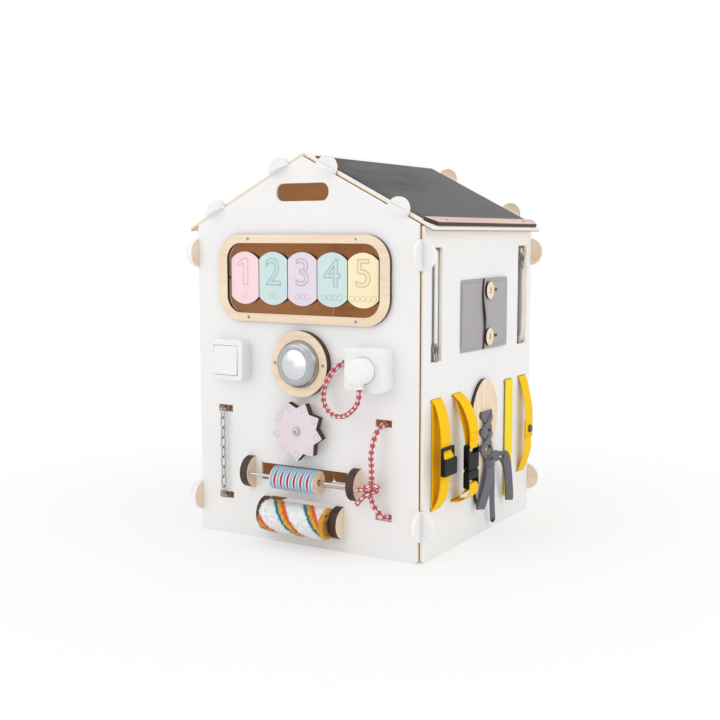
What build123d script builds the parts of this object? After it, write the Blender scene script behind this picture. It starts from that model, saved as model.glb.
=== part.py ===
"""Busy house: plywood walls and roof that hook together with crossing ears, and toys on two walls.

Millimetres, +Z up, the front gable faces -Y and the chalkboard slope +X. The origin is on the floor
under the middle of the whole object.
"""
import os
from math import cos, radians, sin, tan

from build123d import *

os.makedirs("parts", exist_ok=True)

MIDDLE = (Align.CENTER, Align.CENTER, Align.CENTER)
SUNK = (Align.CENTER, Align.CENTER, Align.MAX)
RAISED = (Align.CENTER, Align.CENTER, Align.MIN)

# House shell
inner_width = 400.0
inner_depth = 400.0
ply = 6.0
roof_pitch = 27.0
eave_overhang = 14.0
foot_round = 7.0
lap_fit = 0.15
wall_ear_radius = 23.0
wall_ear_low = 57.0
wall_ear_drop = 45.0
roof_ear_radius = 18.0
roof_ear_high = 46.0
roof_ear_down = 184.0
handle_width = 95.0
handle_height = 27.0
handle_round = 12.0
handle_drop = 53.5
house_x = -5.7
house_y = 11.8

# Chalkboard slope
board_thickness = 2.0
board_border = 8.0
board_top = 14.0
ledge_width = 18.0
ledge_thickness = 6.0
ledge_cut = 14.0
ledge_eave_gap = 4.0
ledge_board_gap = 0.3
ledge_screw_inset = 55.0

# Wood screws
screw_shank = 3.5
screw_head = 7.0
screw_length = 11.0
screw_ring_length = 16.0
screw_sink_angle = 82.0
screw_fit = 0.05

# Rows of the front wall, from the ground up
fleece_z = 46.0
roller_rise = 62.5
gear_gap = 10.5
lamp_gap = 5.0
window_gap = 11.0
eave_gap = 15.5

# Rollers
bracket_radius = 25.0
bracket_thickness = 14.0
roller_axis_off = 18.6
roller_rod = 5.0
rod_seat = 8.0
rod_fit = 0.05
run_fit = 0.07
roller_diameter = 36.0
roller_length = 80.0
roller_bush_wall = 2.0
roller_bush_proud = 0.8
roller_span = 182.0
fleece_diameter = 50.0
fleece_core_diameter = 40.0
fleece_core_wall = 3.0
fleece_end_wall = 8.0
fleece_length = 118.0
fleece_end_gap = 1.0
fleece_core_inset = 0.4
roller_window_width = 160.0
roller_window_height = 27.0
roller_window_rise = 2.5
fleece_window_gap = 1.5

# Star gear
gear_teeth = 9
gear_tip = 47.0
gear_root = 36.0
gear_thickness = 12.0
gear_stand_off = 7.0
gear_tip_round = 1.5
gear_bolt_diameter = 6.0
gear_bolt_head = 12.0
gear_bolt_head_height = 4.0
gear_collar_diameter = 16.0
gear_nut_width = 10.0
gear_nut_height = 5.0
gear_play = 0.3

# Number window
window_width = 278.0
window_height = 109.0
window_round = 26.0
window_lip = 1.0
frame_side = 17.0
frame_cap = 13.0
frame_thickness = 6.0
frame_screw_x = 98.0
plate_count = 5
plate_end_gap = 4.0
plate_gap = 1.4
plate_height = 82.0
plate_side = 58.0
plate_thickness = 8.0
number_rod_diameter = 4.0
number_rod_seat = 8.0

# Switch
switch_x = -131.0
switch_size = 65.0
switch_depth = 24.0
switch_round = 8.0
switch_edge = 2.5
switch_wall = 3.5
switch_front = 4.0
rocker_size = 46.0
rocker_gap = 0.7
rocker_thickness = 10.0
rocker_pivot_back = 2.0
rocker_tilt = 4.0
rocker_pin = 2.6
rocker_pin_length = 2.2
rocker_pin_gap = 0.3
switch_base_gap = 0.3
switch_base_height = 9.0
switch_post = 9.0
switch_post_gap = 0.5

# Push lamp
lamp_ring_diameter = 102.0
lamp_ring_bore = 74.0
lamp_ring_thickness = 12.0
lamp_fit = 0.4
lamp_shell = 2.0
lamp_drum_height = 13.0
lamp_height = 25.0
lamp_lip = 2.5
lens_diameter = 46.0
lens_gap = 0.4
lens_flange = 3.0
lens_flange_thickness = 1.5
lens_dome = 4.0
lens_play = 0.3
lens_travel = 3.0
lens_stem = 6.0
lamp_board_rise = 4.0
lamp_board_thickness = 1.6
lamp_board_fit = 0.3
lamp_cell = 22.0
lamp_switch_size = 9.0
lamp_led = 5.0
lamp_led_circle = 44.0

# Socket and plug
socket_x = 126.0
socket_size = 66.0
socket_depth = 32.0
socket_round = 9.0
socket_edge = 3.0
socket_wall = 3.0
socket_recess_diameter = 41.0
socket_recess_depth = 11.5
socket_cup_wall = 2.0
contact_block = 46.0
contact_gap = 0.3
plug_fit = 0.5
plug_seat_gap = 0.3
plug_grip = 24.0
plug_edge = 6.0
plug_boss_diameter = 12.0
plug_boss_length = 6.0
plug_boss_rise = 10.0
pin_diameter = 4.8
pin_spacing = 19.0
pin_length = 17.0
pin_gap = 0.4
tether_diameter = 8.0
tether_hole_fit = 0.3
tether_hole_x = 73.0
tether_hole_rise = 5.0
tether_swing = 22.0
tether_fall = 58.0
tether_drop = 76.0
tether_rise = 60.0
tether_near_off = 23.0
tether_low_off = 28.0
tether_far_off = 33.0
tether_high_off = 38.0

# Chain
chain_x = -150.0
chain_wire = 2.4
chain_eye_width = 4.8
chain_play = 0.2
chain_count = 9
chain_pin_diameter = 3.0
chain_pin_length = 40.0
cord_slot_width = 28.0
cord_slot_height = 11.0
cord_slot_low = 64.0
cord_slot_high = 206.0

# Knotted rope
rope_x = 143.0
rope_diameter = 8.0
rope_slot_gap = 0.3

# Right wall, upper half
zip_inset = 39.0
zip_slot_width = 36.0
zip_slot_height = 168.0
zip_slot_drop = 31.0
zip_tape_margin = 6.0
zip_tape_thickness = 1.0
zip_tape_gap = 0.2
zip_teeth_width = 6.0
zip_teeth_height = 2.2
zip_slider_width = 11.0
zip_slider_length = 15.0
zip_slider_thickness = 3.4
zip_slider_fit = 0.3
zip_slider_margin = 12.0
zip_bridge_width = 3.6
zip_bridge_height = 4.4
zip_bridge_wire = 1.4
zip_pull_width = 9.0
zip_pull_length = 20.0
zip_pull_thickness = 1.4
zip_pull_window = 8.0
flap_drop = 141.0
flap_height = 113.0
flap_thickness = 2.0
flap_gap = 0.3
flap_left_y = -78.0
flap_right_y = 86.0
flap_edge_y = -2.0
flap_under_y = 40.0
flap_round = 9.0
flap_wave = 4.0
flap_tab_height = 100.0
flap_tab_depth = 10.0
flap_slit_gap = 0.5
button_y = 12.0
button_spacing = 74.0
button_diameter = 28.0
button_thickness = 4.0
button_shank = 4.0
buttonhole_length = 30.0

# Right wall, lower half
webbing_width = 30.0
webbing_thickness = 1.6
webbing_gap = 0.3
webbing_bend = 2.0
strap_slot_high = 240.0
strap_slot_low = 76.0
strap_slot_width = 34.0
strap_slot_height = 5.0
strap_tail = 16.0
ladder_y = -161.0
ladder_z = 151.0
ladder_width = 40.0
ladder_height = 42.0
ladder_thickness = 3.0
ladder_bar = 5.0
ladder_middle_bar = 8.0
ladder_off = 19.0
ladder_cover = 2.0
ladder_cover_rise = 4.0
clip_y = -91.0
clip_z = 126.0
clip_width = 38.0
clip_thickness = 9.0
clip_off = 26.5
clip_socket_height = 40.0
clip_plug_height = 28.0
clip_edge = 2.0
clip_round = 5.0
clip_cavity_width = 29.0
clip_cavity_height = 5.6
clip_cavity_depth = 23.0
clip_bar = 6.0
clip_rail = 4.0
clip_ladder = 14.0
clip_fit = 0.3
clip_prong = 5.5
clip_guide = 6.0
clip_window = 11.0
hook_y = 105.0
hook_tail_z = 44.0
hook_patch_height = 60.0
snap_y = 165.0
snap_bulge = 15.0
snap_z = 150.0
snap_overlap = 15.0
snap_diameter = 13.0
snap_cap = 3.0
snap_post = 4.0

# Shoe
shoe_y = 4.0
shoe_toe_z = 254.0
shoe_heel_z = 50.0
shoe_ball_half = 48.0
shoe_waist_half = 33.0
shoe_heel_half = 36.0
shoe_thickness = 6.0
eyelet_spacing = 38.0
eyelet_pitch = 27.0
eyelet_rows = 3
eyelet_top_z = 197.0
eyelet_bore = 5.0
eyelet_tube = 7.0
eyelet_flange = 11.0
eyelet_flange_thickness = 1.0
eyelet_fit = 0.05
lace_width = 11.0
lace_thickness = 1.4
lace_gap = 0.3
lace_knot_z = 120.0
bow_knot = 15.0
bow_swell = 6.0
bow_left_y = -12.0
bow_left_z = 38.0
bow_right_y = 82.0
bow_right_z = 56.0
bow_tail_y = 28.0
bow_tail_z = 14.0

# Places that follow from the sizes
pitch = radians(roof_pitch)
roller_z = fleece_z + roller_rise
gear_z = roller_z + roller_diameter / 2 + gear_gap + gear_tip
row_z = gear_z + gear_tip + lamp_gap + lamp_ring_diameter / 2
frame_half_height = window_height / 2 + frame_cap
window_z = row_z + lamp_ring_diameter / 2 + window_gap + frame_half_height
eave_height = window_z + frame_half_height + eave_gap
half_width = inner_width / 2
half_depth = inner_depth / 2
side_out = half_width + ply
ridge_z = eave_height + half_width * tan(pitch)
roof_length = (side_out + eave_overhang) / cos(pitch)
side_height = ridge_z - side_out * tan(pitch) - lap_fit
handle_z = ridge_z - handle_drop
wall_ear_heights = (wall_ear_low, eave_height - wall_ear_drop)
roof_ear_places = (roof_ear_high, roof_ear_down)
slot_reach = 1.0
front_out = house_y - half_depth - ply
back_out = house_y + half_depth + ply
right_out = house_x + side_out
left_out = house_x - side_out
upper_z = eave_height - flap_drop


# Planes and points. On a wall's plane the local x runs along the wall and the local y is up.
def front_plane(x=0.0, z=0.0, off=0.0):
    return Plane((house_x + x, front_out - off, z), x_dir=(1, 0, 0), z_dir=(0, -1, 0))


def right_plane(y=0.0, z=0.0, off=0.0):
    return Plane((right_out + off, house_y + y, z), x_dir=(0, 1, 0), z_dir=(1, 0, 0))


def front_section(x=0.0, z=0.0, off=0.0):
    """A plane across the front wall: local x is the way out of the wall."""
    return Plane((house_x + x, front_out - off, z), x_dir=(0, -1, 0), z_dir=(-1, 0, 0))


def right_section(y=0.0, z=0.0, off=0.0):
    """A plane across the right wall: local x is the way out of the wall."""
    return Plane((right_out + off, house_y + y, z), x_dir=(1, 0, 0), z_dir=(0, -1, 0))


def front_turning(x, z):
    """A plane through an axis square to the front wall: local x is the radius, local y the way out."""
    return Plane((house_x + x, front_out, z), x_dir=(1, 0, 0), z_dir=(0, 0, -1))


def roof_plane(side, off=0.0):
    """The underside of a slope, raised by off: local x runs down the slope from the ridge."""
    origin = (house_x + side * off * sin(pitch), house_y, ridge_z + off * cos(pitch))
    x_dir = (side * cos(pitch), 0, -sin(pitch))
    return Plane(origin, x_dir=x_dir, z_dir=(side * sin(pitch), 0, cos(pitch)))


def slope_point(side, along, off):
    """A point on a gable's plane, along the slope's underside from the ridge and off it."""
    x = side * (along * cos(pitch) + off * sin(pitch))
    return (x, ridge_z - along * sin(pitch) + off * cos(pitch))


def front_point(x, off, z):
    return (house_x + x, front_out - off, z)


def right_point(y, off, z):
    return (right_out + off, house_y + y, z)


def save(builder, label):
    builder.part.label = label
    export_step(builder.part, f"parts/{label}.step")


# Panels
def wall_ears(half, root):
    """Half discs that cross the next wall; root is 1 where the upper half holds, -1 for the lower."""
    slit = wall_ear_radius + slot_reach + lap_fit
    places = [(side * (half + ply / 2), z) for side in (-1, 1) for z in wall_ear_heights]
    with Locations(*places):
        Circle(wall_ear_radius)
    with Locations(*[(x, z - root * (slit / 2 - lap_fit)) for x, z in places]):
        Rectangle(ply + 2 * lap_fit, slit, mode=Mode.SUBTRACT)


def gable_ears():
    """Half discs of a gable that cross the roof, held on their downhill half."""
    slit = roof_ear_radius + slot_reach + lap_fit
    for side in (-1, 1):
        for along in roof_ear_places:
            with Locations(slope_point(side, along, ply / 2)):
                Circle(roof_ear_radius)
            with Locations(slope_point(side, along - slit / 2 + lap_fit, ply / 2)):
                Rectangle(slit, ply + 2 * lap_fit, rotation=-side * roof_pitch, mode=Mode.SUBTRACT)


def gable_sheet():
    """A gable's outline with its feet rounded, and its handle."""
    half = half_width - lap_fit
    eave = ridge_z - half * tan(pitch) - lap_fit / cos(pitch)
    peak = ridge_z - lap_fit / cos(pitch)
    Polygon((-half, foot_round), (half, foot_round), (half, eave), (0, peak), (-half, eave), align=None)
    with Locations((0, foot_round)):
        SlotOverall(2 * half, 2 * foot_round)
    gable_ears()
    wall_ears(half_width, 1)
    with Locations((0, handle_z)):
        RectangleRounded(handle_width, handle_height, handle_round, mode=Mode.SUBTRACT)


def side_sheet():
    half = half_depth - lap_fit
    with Locations((0, foot_round)):
        Rectangle(2 * half, side_height - foot_round, align=(Align.CENTER, Align.MIN))
        SlotOverall(2 * half, 2 * foot_round)
    wall_ears(half_depth, -1)


frame_screw_z = window_height / 2 + frame_cap / 2
frame_screws = [(x, window_z + z) for x in (-frame_screw_x, frame_screw_x) for z in (-frame_screw_z, frame_screw_z)]
lamp_screw_x = (lamp_ring_diameter + lamp_ring_bore) / 4
lamp_screws = [(-lamp_screw_x, row_z), (lamp_screw_x, row_z)]
screw_hole = screw_shank / 2 + screw_fit
screw_sink = screw_head / 2 + screw_fit
plate_pitch = (window_width - 2 * plate_end_gap) / plate_count
number_rod_half = window_width / 2 + window_lip + number_rod_seat - lap_fit
plate_mid = -ply / 2
tether_hole_z = row_z + tether_hole_rise
fleece_window_width = fleece_length + 2 * fleece_window_gap
fleece_window_height = fleece_diameter + 2 * fleece_window_gap
fleece_span = fleece_length + 2 * fleece_end_gap

with BuildPart() as front_wall:
    with BuildSketch(front_plane()):
        gable_sheet()
        with Locations((0, window_z)):
            RectangleRounded(window_width + 2 * window_lip, window_height + 2 * window_lip,
                             window_round + window_lip, mode=Mode.SUBTRACT)
            Rectangle(2 * number_rod_half + 2 * lap_fit, number_rod_diameter + 2 * rod_fit, mode=Mode.SUBTRACT)
        with Locations(*[(x, z) for x in (chain_x, rope_x) for z in (cord_slot_low, cord_slot_high)]):
            Rectangle(cord_slot_width, cord_slot_height, mode=Mode.SUBTRACT)
        with Locations((0, roller_z + roller_window_rise)):
            Rectangle(roller_window_width, roller_window_height, mode=Mode.SUBTRACT)
        with Locations((0, fleece_z)):
            Rectangle(fleece_window_width, fleece_window_height, mode=Mode.SUBTRACT)
        with Locations((tether_hole_x, tether_hole_z)):
            Circle(tether_diameter / 2 + tether_hole_fit, mode=Mode.SUBTRACT)
        with Locations((0, gear_z)):
            Circle(gear_bolt_diameter / 2 + screw_fit, mode=Mode.SUBTRACT)
        with Locations(*frame_screws, *lamp_screws):
            Circle(screw_hole, mode=Mode.SUBTRACT)
    extrude(amount=-ply)
save(front_wall, "front_wall")

with BuildPart() as back_wall:
    with BuildSketch(Plane((house_x, back_out, 0), x_dir=(-1, 0, 0), z_dir=(0, 1, 0))):
        gable_sheet()
    extrude(amount=-ply)
save(back_wall, "back_wall")

with BuildPart() as left_wall:
    with BuildSketch(Plane((left_out, house_y, 0), x_dir=(0, -1, 0), z_dir=(-1, 0, 0))):
        side_sheet()
    extrude(amount=-ply)
save(left_wall, "left_wall")

zip_front_y = -(half_depth - zip_inset)
zip_back_y = half_depth - zip_inset
zip_slot_z = side_height - zip_slot_drop - zip_slot_height / 2
flap_slit_width = flap_thickness + 2 * flap_slit_gap
flap_slit_height = flap_tab_height + 2 * flap_slit_gap
flap_slits = (flap_left_y - flap_thickness / 2, flap_right_y + flap_thickness / 2)
strap_slots = [(y, z) for y in (ladder_y, clip_y, snap_y) for z in (strap_slot_low, strap_slot_high)]

with BuildPart() as right_wall:
    with BuildSketch(right_plane()):
        side_sheet()
        with Locations((zip_front_y, zip_slot_z), (zip_back_y, zip_slot_z)):
            Rectangle(zip_slot_width, zip_slot_height, mode=Mode.SUBTRACT)
        with Locations(*[(y, upper_z) for y in flap_slits]):
            Rectangle(flap_slit_width, flap_slit_height, mode=Mode.SUBTRACT)
        with Locations(*strap_slots, (hook_y, strap_slot_high)):
            Rectangle(strap_slot_width, strap_slot_height, mode=Mode.SUBTRACT)
    extrude(amount=-ply)
save(right_wall, "right_wall")

# Roof: panels between the gables, with ears held on their uphill half
ledge_along = roof_length - ledge_eave_gap - ledge_width / 2
ledge_half = half_depth - lap_fit
ledge_screws = [(ledge_along, y) for y in (-(ledge_half - ledge_screw_inset), ledge_half - ledge_screw_inset)]


def roof_sheet():
    slit = roof_ear_radius + slot_reach + lap_fit
    with Locations((lap_fit, 0)):
        Rectangle(roof_length - lap_fit, 2 * (half_depth - lap_fit), align=(Align.MIN, Align.CENTER))
    places = [(along, end * (half_depth + ply / 2)) for along in roof_ear_places for end in (-1, 1)]
    with Locations(*places):
        Circle(roof_ear_radius)
    with Locations(*[(along + slit / 2 - lap_fit, y) for along, y in places]):
        Rectangle(slit, ply + 2 * lap_fit, mode=Mode.SUBTRACT)


with BuildPart() as roof_left:
    with BuildSketch(roof_plane(-1)):
        roof_sheet()
    extrude(amount=ply)
save(roof_left, "roof_left")

with BuildPart() as roof_right:
    with BuildSketch(roof_plane(1)):
        roof_sheet()
        with Locations(*ledge_screws):
            Circle(screw_hole, mode=Mode.SUBTRACT)
    extrude(amount=ply)
save(roof_right, "roof_right")

with BuildPart() as chalkboard:
    board_length = ledge_along - ledge_width / 2 - ledge_board_gap - board_top
    with BuildSketch(roof_plane(1, ply)):
        with Locations((board_top, 0)):
            Rectangle(board_length, 2 * (half_depth - board_border), align=(Align.MIN, Align.CENTER))
    extrude(amount=board_thickness)
save(chalkboard, "chalkboard")

with BuildPart() as chalk_ledge:
    with BuildSketch(roof_plane(1, ply)) as ledge_face:
        with Locations((ledge_along, 0)):
            Rectangle(ledge_width, 2 * ledge_half)
        chamfer(ledge_face.vertices().group_by(Axis.X)[-1], ledge_cut)
    extrude(amount=ledge_thickness)
    with Locations(roof_plane(1, ply + ledge_thickness)):
        with Locations(*ledge_screws):
            CounterSinkHole(screw_hole, screw_sink, counter_sink_angle=screw_sink_angle)
save(chalk_ledge, "chalk_ledge")

with BuildPart() as wood_screws:
    head_depth = (screw_head - screw_shank) / 2 / tan(radians(screw_sink_angle / 2))
    frame_places = [front_plane(x, z, frame_thickness) for x, z in frame_screws]
    ring_places = [front_plane(x, z, lamp_ring_thickness) for x, z in lamp_screws]
    ledge_top = roof_plane(1, ply + ledge_thickness)
    ledge_places = [ledge_top.shift_origin(ledge_top.from_local_coords(Vector(*p))) for p in ledge_screws]
    with Locations(*frame_places, *ledge_places):
        Cylinder(screw_shank / 2, screw_length, align=SUNK)
        Cone(screw_shank / 2, screw_head / 2, head_depth, align=SUNK)
    with Locations(*ring_places):
        Cylinder(screw_shank / 2, screw_ring_length, align=SUNK)
        Cone(screw_shank / 2, screw_head / 2, head_depth, align=SUNK)
save(wood_screws, "wood_screws")

# Number window
with BuildPart() as window_frame:
    with BuildSketch(front_plane(0, window_z)):
        RectangleRounded(window_width + 2 * frame_side, window_height + 2 * frame_cap,
                         window_round + (frame_side + frame_cap) / 2)
        RectangleRounded(window_width, window_height, window_round, mode=Mode.SUBTRACT)
    extrude(amount=frame_thickness)
    with Locations(*[front_plane(x, z, frame_thickness) for x, z in frame_screws]):
        CounterSinkHole(screw_hole, screw_sink, counter_sink_angle=screw_sink_angle)
save(window_frame, "window_frame")

with BuildPart() as number_rod:
    with BuildSketch(front_section(0, window_z, plate_mid)):
        Circle(number_rod_diameter / 2)
    extrude(amount=number_rod_half, both=True)
save(number_rod, "number_rod")


def number_plate(index):
    """A flip plate with arched ends, bored for the rod."""
    x = (index - (plate_count - 1) / 2) * plate_pitch
    half = (plate_pitch - plate_gap) / 2
    with BuildPart() as plate:
        with BuildSketch(front_plane(x, window_z, plate_mid)):
            with BuildLine():
                Line((half, -plate_side / 2), (half, plate_side / 2))
                ThreePointArc((half, plate_side / 2), (0, plate_height / 2), (-half, plate_side / 2))
                Line((-half, plate_side / 2), (-half, -plate_side / 2))
                ThreePointArc((-half, -plate_side / 2), (0, -plate_height / 2), (half, -plate_side / 2))
            make_face()
        extrude(amount=plate_thickness / 2, both=True)
        with BuildSketch(front_section(x, window_z, plate_mid)):
            Circle(number_rod_diameter / 2 + run_fit)
        extrude(amount=half, both=True, mode=Mode.SUBTRACT)
    return plate


for index in range(plate_count):
    save(number_plate(index), f"number_plate_{index + 1}")

# Switch: a moulded cover over a base, with a rocker on two pins
rocker_pivot_off = switch_depth - rocker_pivot_back
rocker_lean = radians(rocker_tilt)
rocker_back = rocker_thickness / 2 + rocker_pivot_back / 2


def rocker_plane():
    origin = (house_x + switch_x, front_out - rocker_pivot_off, row_z)
    return Plane(origin, x_dir=(1, 0, 0), z_dir=(0, -cos(rocker_lean), sin(rocker_lean)))


with BuildPart() as switch_cover:
    with BuildSketch(front_plane(switch_x, row_z)):
        RectangleRounded(switch_size, switch_size, switch_round)
    extrude(amount=switch_depth)
    fillet(switch_cover.faces().sort_by(Axis.Y)[0].edges(), switch_edge)
    with BuildSketch(front_plane(switch_x, row_z)):
        hollow = switch_size - 2 * switch_wall
        RectangleRounded(hollow, hollow, switch_round - switch_wall)
    extrude(amount=switch_depth - switch_front, mode=Mode.SUBTRACT)
    with BuildSketch(front_plane(switch_x, row_z)):
        Rectangle(rocker_size + 2 * rocker_gap, rocker_size + 2 * rocker_gap)
    extrude(amount=switch_depth, mode=Mode.SUBTRACT)
    with BuildSketch(front_section(switch_x, row_z, rocker_pivot_off)):
        Circle(rocker_pin / 2 + run_fit)
    extrude(amount=rocker_size / 2 + rocker_pin_length + rocker_pin_gap, both=True, mode=Mode.SUBTRACT)
save(switch_cover, "switch_cover")

with BuildPart() as switch_base:
    with BuildSketch(front_plane(switch_x, row_z)):
        base_side = switch_size - 2 * switch_wall - 2 * switch_base_gap
        RectangleRounded(base_side, base_side, switch_round - switch_wall)
    extrude(amount=switch_base_height)
    with BuildSketch(front_plane(switch_x, row_z)):
        Circle(switch_post / 2)
    extrude(amount=rocker_pivot_off - rocker_back - switch_post_gap)
save(switch_base, "switch_base")

with BuildPart() as switch_rocker:
    with BuildSketch(rocker_plane().offset(-rocker_back)):
        Rectangle(rocker_size, rocker_size)
    extrude(amount=rocker_thickness)
    fillet(switch_rocker.faces().sort_by(Axis.Y)[0].edges(), switch_edge / 2)
    with BuildSketch(front_section(switch_x, row_z, rocker_pivot_off)):
        Circle(rocker_pin / 2)
    extrude(amount=rocker_size / 2 + rocker_pin_length, both=True)
save(switch_rocker, "switch_rocker")

# Push lamp: a wooden ring round a turned housing, with a domed lens that is pressed in
housing_radius = lamp_ring_bore / 2 - lamp_fit
lens_opening = lens_diameter / 2 + lens_gap
lens_seat = lamp_height - lamp_lip - lens_play
lamp_axis = Axis((house_x, front_out, row_z), (0, -1, 0))
lamp_board_top = lamp_board_rise + lamp_board_thickness

with BuildPart() as lamp_ring:
    with BuildSketch(front_plane(0, row_z)):
        Circle(lamp_ring_diameter / 2)
        Circle(lamp_ring_bore / 2, mode=Mode.SUBTRACT)
    extrude(amount=lamp_ring_thickness)
    with Locations(*[front_plane(x, z, lamp_ring_thickness) for x, z in lamp_screws]):
        CounterSinkHole(screw_hole, screw_sink, counter_sink_angle=screw_sink_angle)
save(lamp_ring, "lamp_ring")

with BuildPart() as lamp_housing:
    with BuildSketch(front_turning(0, row_z)):
        with BuildLine():
            inner_radius = housing_radius - lamp_shell
            shoulder = lens_opening + lens_flange + lamp_shell
            Line((housing_radius, 0), (housing_radius, lamp_drum_height))
            TangentArc((housing_radius, lamp_drum_height), (shoulder, lamp_height), tangent=(0, 1))
            Line((shoulder, lamp_height), (lens_opening, lamp_height))
            Line((lens_opening, lamp_height), (lens_opening, lamp_height - lamp_lip))
            Line((lens_opening, lamp_height - lamp_lip), (shoulder, lamp_height - lamp_lip))
            Line((shoulder, lamp_height - lamp_lip), (inner_radius, lamp_drum_height))
            Line((inner_radius, lamp_drum_height), (inner_radius, 0))
            Line((inner_radius, 0), (housing_radius, 0))
        make_face()
    revolve(axis=lamp_axis)
save(lamp_housing, "lamp_housing")

with BuildPart() as lamp_lens:
    with BuildSketch(front_turning(0, row_z)):
        with BuildLine():
            rim = lens_diameter / 2
            flange = lens_opening + lens_flange - lens_gap
            flange_low = lens_seat - lens_flange_thickness
            stem_end = lamp_board_top + lamp_switch_size / 2 + lens_travel + lens_play
            Line((0, stem_end), (0, lamp_height + lens_dome))
            ThreePointArc((0, lamp_height + lens_dome), (rim * 0.55, lamp_height + lens_dome * 0.73),
                          (rim, lamp_height))
            Line((rim, lamp_height), (rim, lens_seat))
            Line((rim, lens_seat), (flange, lens_seat))
            Line((flange, lens_seat), (flange, flange_low))
            Line((flange, flange_low), (lens_stem / 2, flange_low))
            Line((lens_stem / 2, flange_low), (lens_stem / 2, stem_end))
            Line((lens_stem / 2, stem_end), (0, stem_end))
        make_face()
    revolve(axis=lamp_axis)
save(lamp_lens, "lamp_lens")

with BuildPart() as lamp_board:
    with BuildSketch(front_plane(0, row_z)):
        Circle(lamp_cell / 2)
    extrude(amount=lamp_board_rise)
    with BuildSketch(front_plane(0, row_z, lamp_board_rise)):
        Circle(housing_radius - lamp_shell - lamp_board_fit)
    extrude(amount=lamp_board_thickness)
    with BuildSketch(front_plane(0, row_z, lamp_board_top)):
        Rectangle(lamp_switch_size, lamp_switch_size)
    extrude(amount=lamp_switch_size / 2)
    with Locations(front_plane(0, row_z, lamp_board_top)):
        with PolarLocations(lamp_led_circle / 2, 3, start_angle=90):
            Cylinder(lamp_led / 2, lamp_led, align=RAISED)
save(lamp_board, "lamp_board")

# Socket: a moulded cover with a round recess over a contact block, and a round plug with a side boss
recess_bottom = socket_depth - socket_recess_depth
recess_radius = socket_recess_diameter / 2
plug_radius = recess_radius - plug_fit
plug_back = recess_bottom + plug_seat_gap
plug_front = socket_depth + plug_grip
plug_boss_off = socket_depth + plug_boss_rise
plug_boss_z = row_z - plug_radius - plug_boss_length

with BuildPart() as socket_cover:
    with BuildSketch(front_plane(socket_x, row_z)):
        RectangleRounded(socket_size, socket_size, socket_round)
    extrude(amount=socket_depth)
    fillet(socket_cover.faces().sort_by(Axis.Y)[0].edges(), socket_edge)
    with BuildSketch(front_plane(socket_x, row_z)):
        hollow = socket_size - 2 * socket_wall
        RectangleRounded(hollow, hollow, socket_round - socket_wall)
    extrude(amount=socket_depth - socket_wall, mode=Mode.SUBTRACT)
    with BuildSketch(front_plane(socket_x, row_z, recess_bottom - socket_cup_wall)):
        Circle(recess_radius + socket_cup_wall)
    extrude(amount=socket_recess_depth)
    with BuildSketch(front_plane(socket_x, row_z, recess_bottom)):
        Circle(recess_radius)
    extrude(amount=socket_recess_depth, mode=Mode.SUBTRACT)
    with BuildSketch(front_plane(socket_x, row_z)):
        with GridLocations(pin_spacing, 0, 2, 1):
            Circle(pin_diameter / 2 + pin_gap)
    extrude(amount=socket_depth, mode=Mode.SUBTRACT)
save(socket_cover, "socket_cover")

with BuildPart() as socket_base:
    with BuildSketch(front_plane(socket_x, row_z)):
        RectangleRounded(contact_block, contact_block, socket_round / 2)
        with GridLocations(pin_spacing, 0, 2, 1):
            Circle(pin_diameter / 2 + pin_gap, mode=Mode.SUBTRACT)
    extrude(amount=recess_bottom - socket_cup_wall - contact_gap)
save(socket_base, "socket_base")

with BuildPart() as plug_body:
    with BuildSketch(front_plane(socket_x, row_z, plug_back)):
        Circle(plug_radius)
    extrude(amount=plug_front - plug_back)
    fillet(plug_body.faces().sort_by(Axis.Y)[0].edges(), plug_edge)
    with BuildSketch(Plane(front_point(socket_x, plug_boss_off, plug_boss_z), x_dir=(1, 0, 0), z_dir=(0, 0, 1))):
        Circle(plug_boss_diameter / 2)
    extrude(amount=plug_boss_length + plug_radius / 2)
    with BuildSketch(front_plane(socket_x, row_z, plug_back)):
        with GridLocations(pin_spacing, 0, 2, 1):
            Circle(pin_diameter / 2)
    extrude(amount=-pin_length)
    fillet(plug_body.faces().sort_by(Axis.Y)[-1].edges(), pin_diameter / 4)
    fillet(plug_body.faces().sort_by(Axis.Y)[-1].edges(), pin_diameter / 4)
save(plug_body, "plug_body")


# Ropes and bands follow straight runs joined by arcs as large as the runs allow
def bend_radii(points):
    places = [Vector(*point) for point in points]
    radii = []
    for before, here, after in zip(places, places[1:], places[2:]):
        turn = radians((here - before).get_angle(after - here))
        radii.append(0.45 * min((here - before).length, (after - here).length) / tan(turn / 2))
    return radii


def rope(label, diameter, points):
    radii = bend_radii(points)
    with BuildPart() as strand:
        with BuildLine():
            path = FilletPolyline(*points, radius=radii)
        with BuildSketch(Plane(path @ 0, z_dir=path % 0)):
            Circle(diameter / 2)
        sweep()
    tube = Circle(diameter / 2, mode=Mode.PRIVATE).area * path.length
    print(label, "radii", [round(r) for r in radii], "length", round(path.length),
          "volume to tube", round(strand.part.volume / tube, 4))
    return strand


def band(points, radii, across, width, thickness):
    """A flat band whose width lies along the direction across, which is square to its whole path."""
    with BuildPart() as strip:
        with BuildLine():
            path = FilletPolyline(*points, radius=radii)
        with BuildSketch(Plane(path @ 0, x_dir=across, z_dir=path % 0)):
            Rectangle(width, thickness)
        sweep()
    return strip


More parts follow.
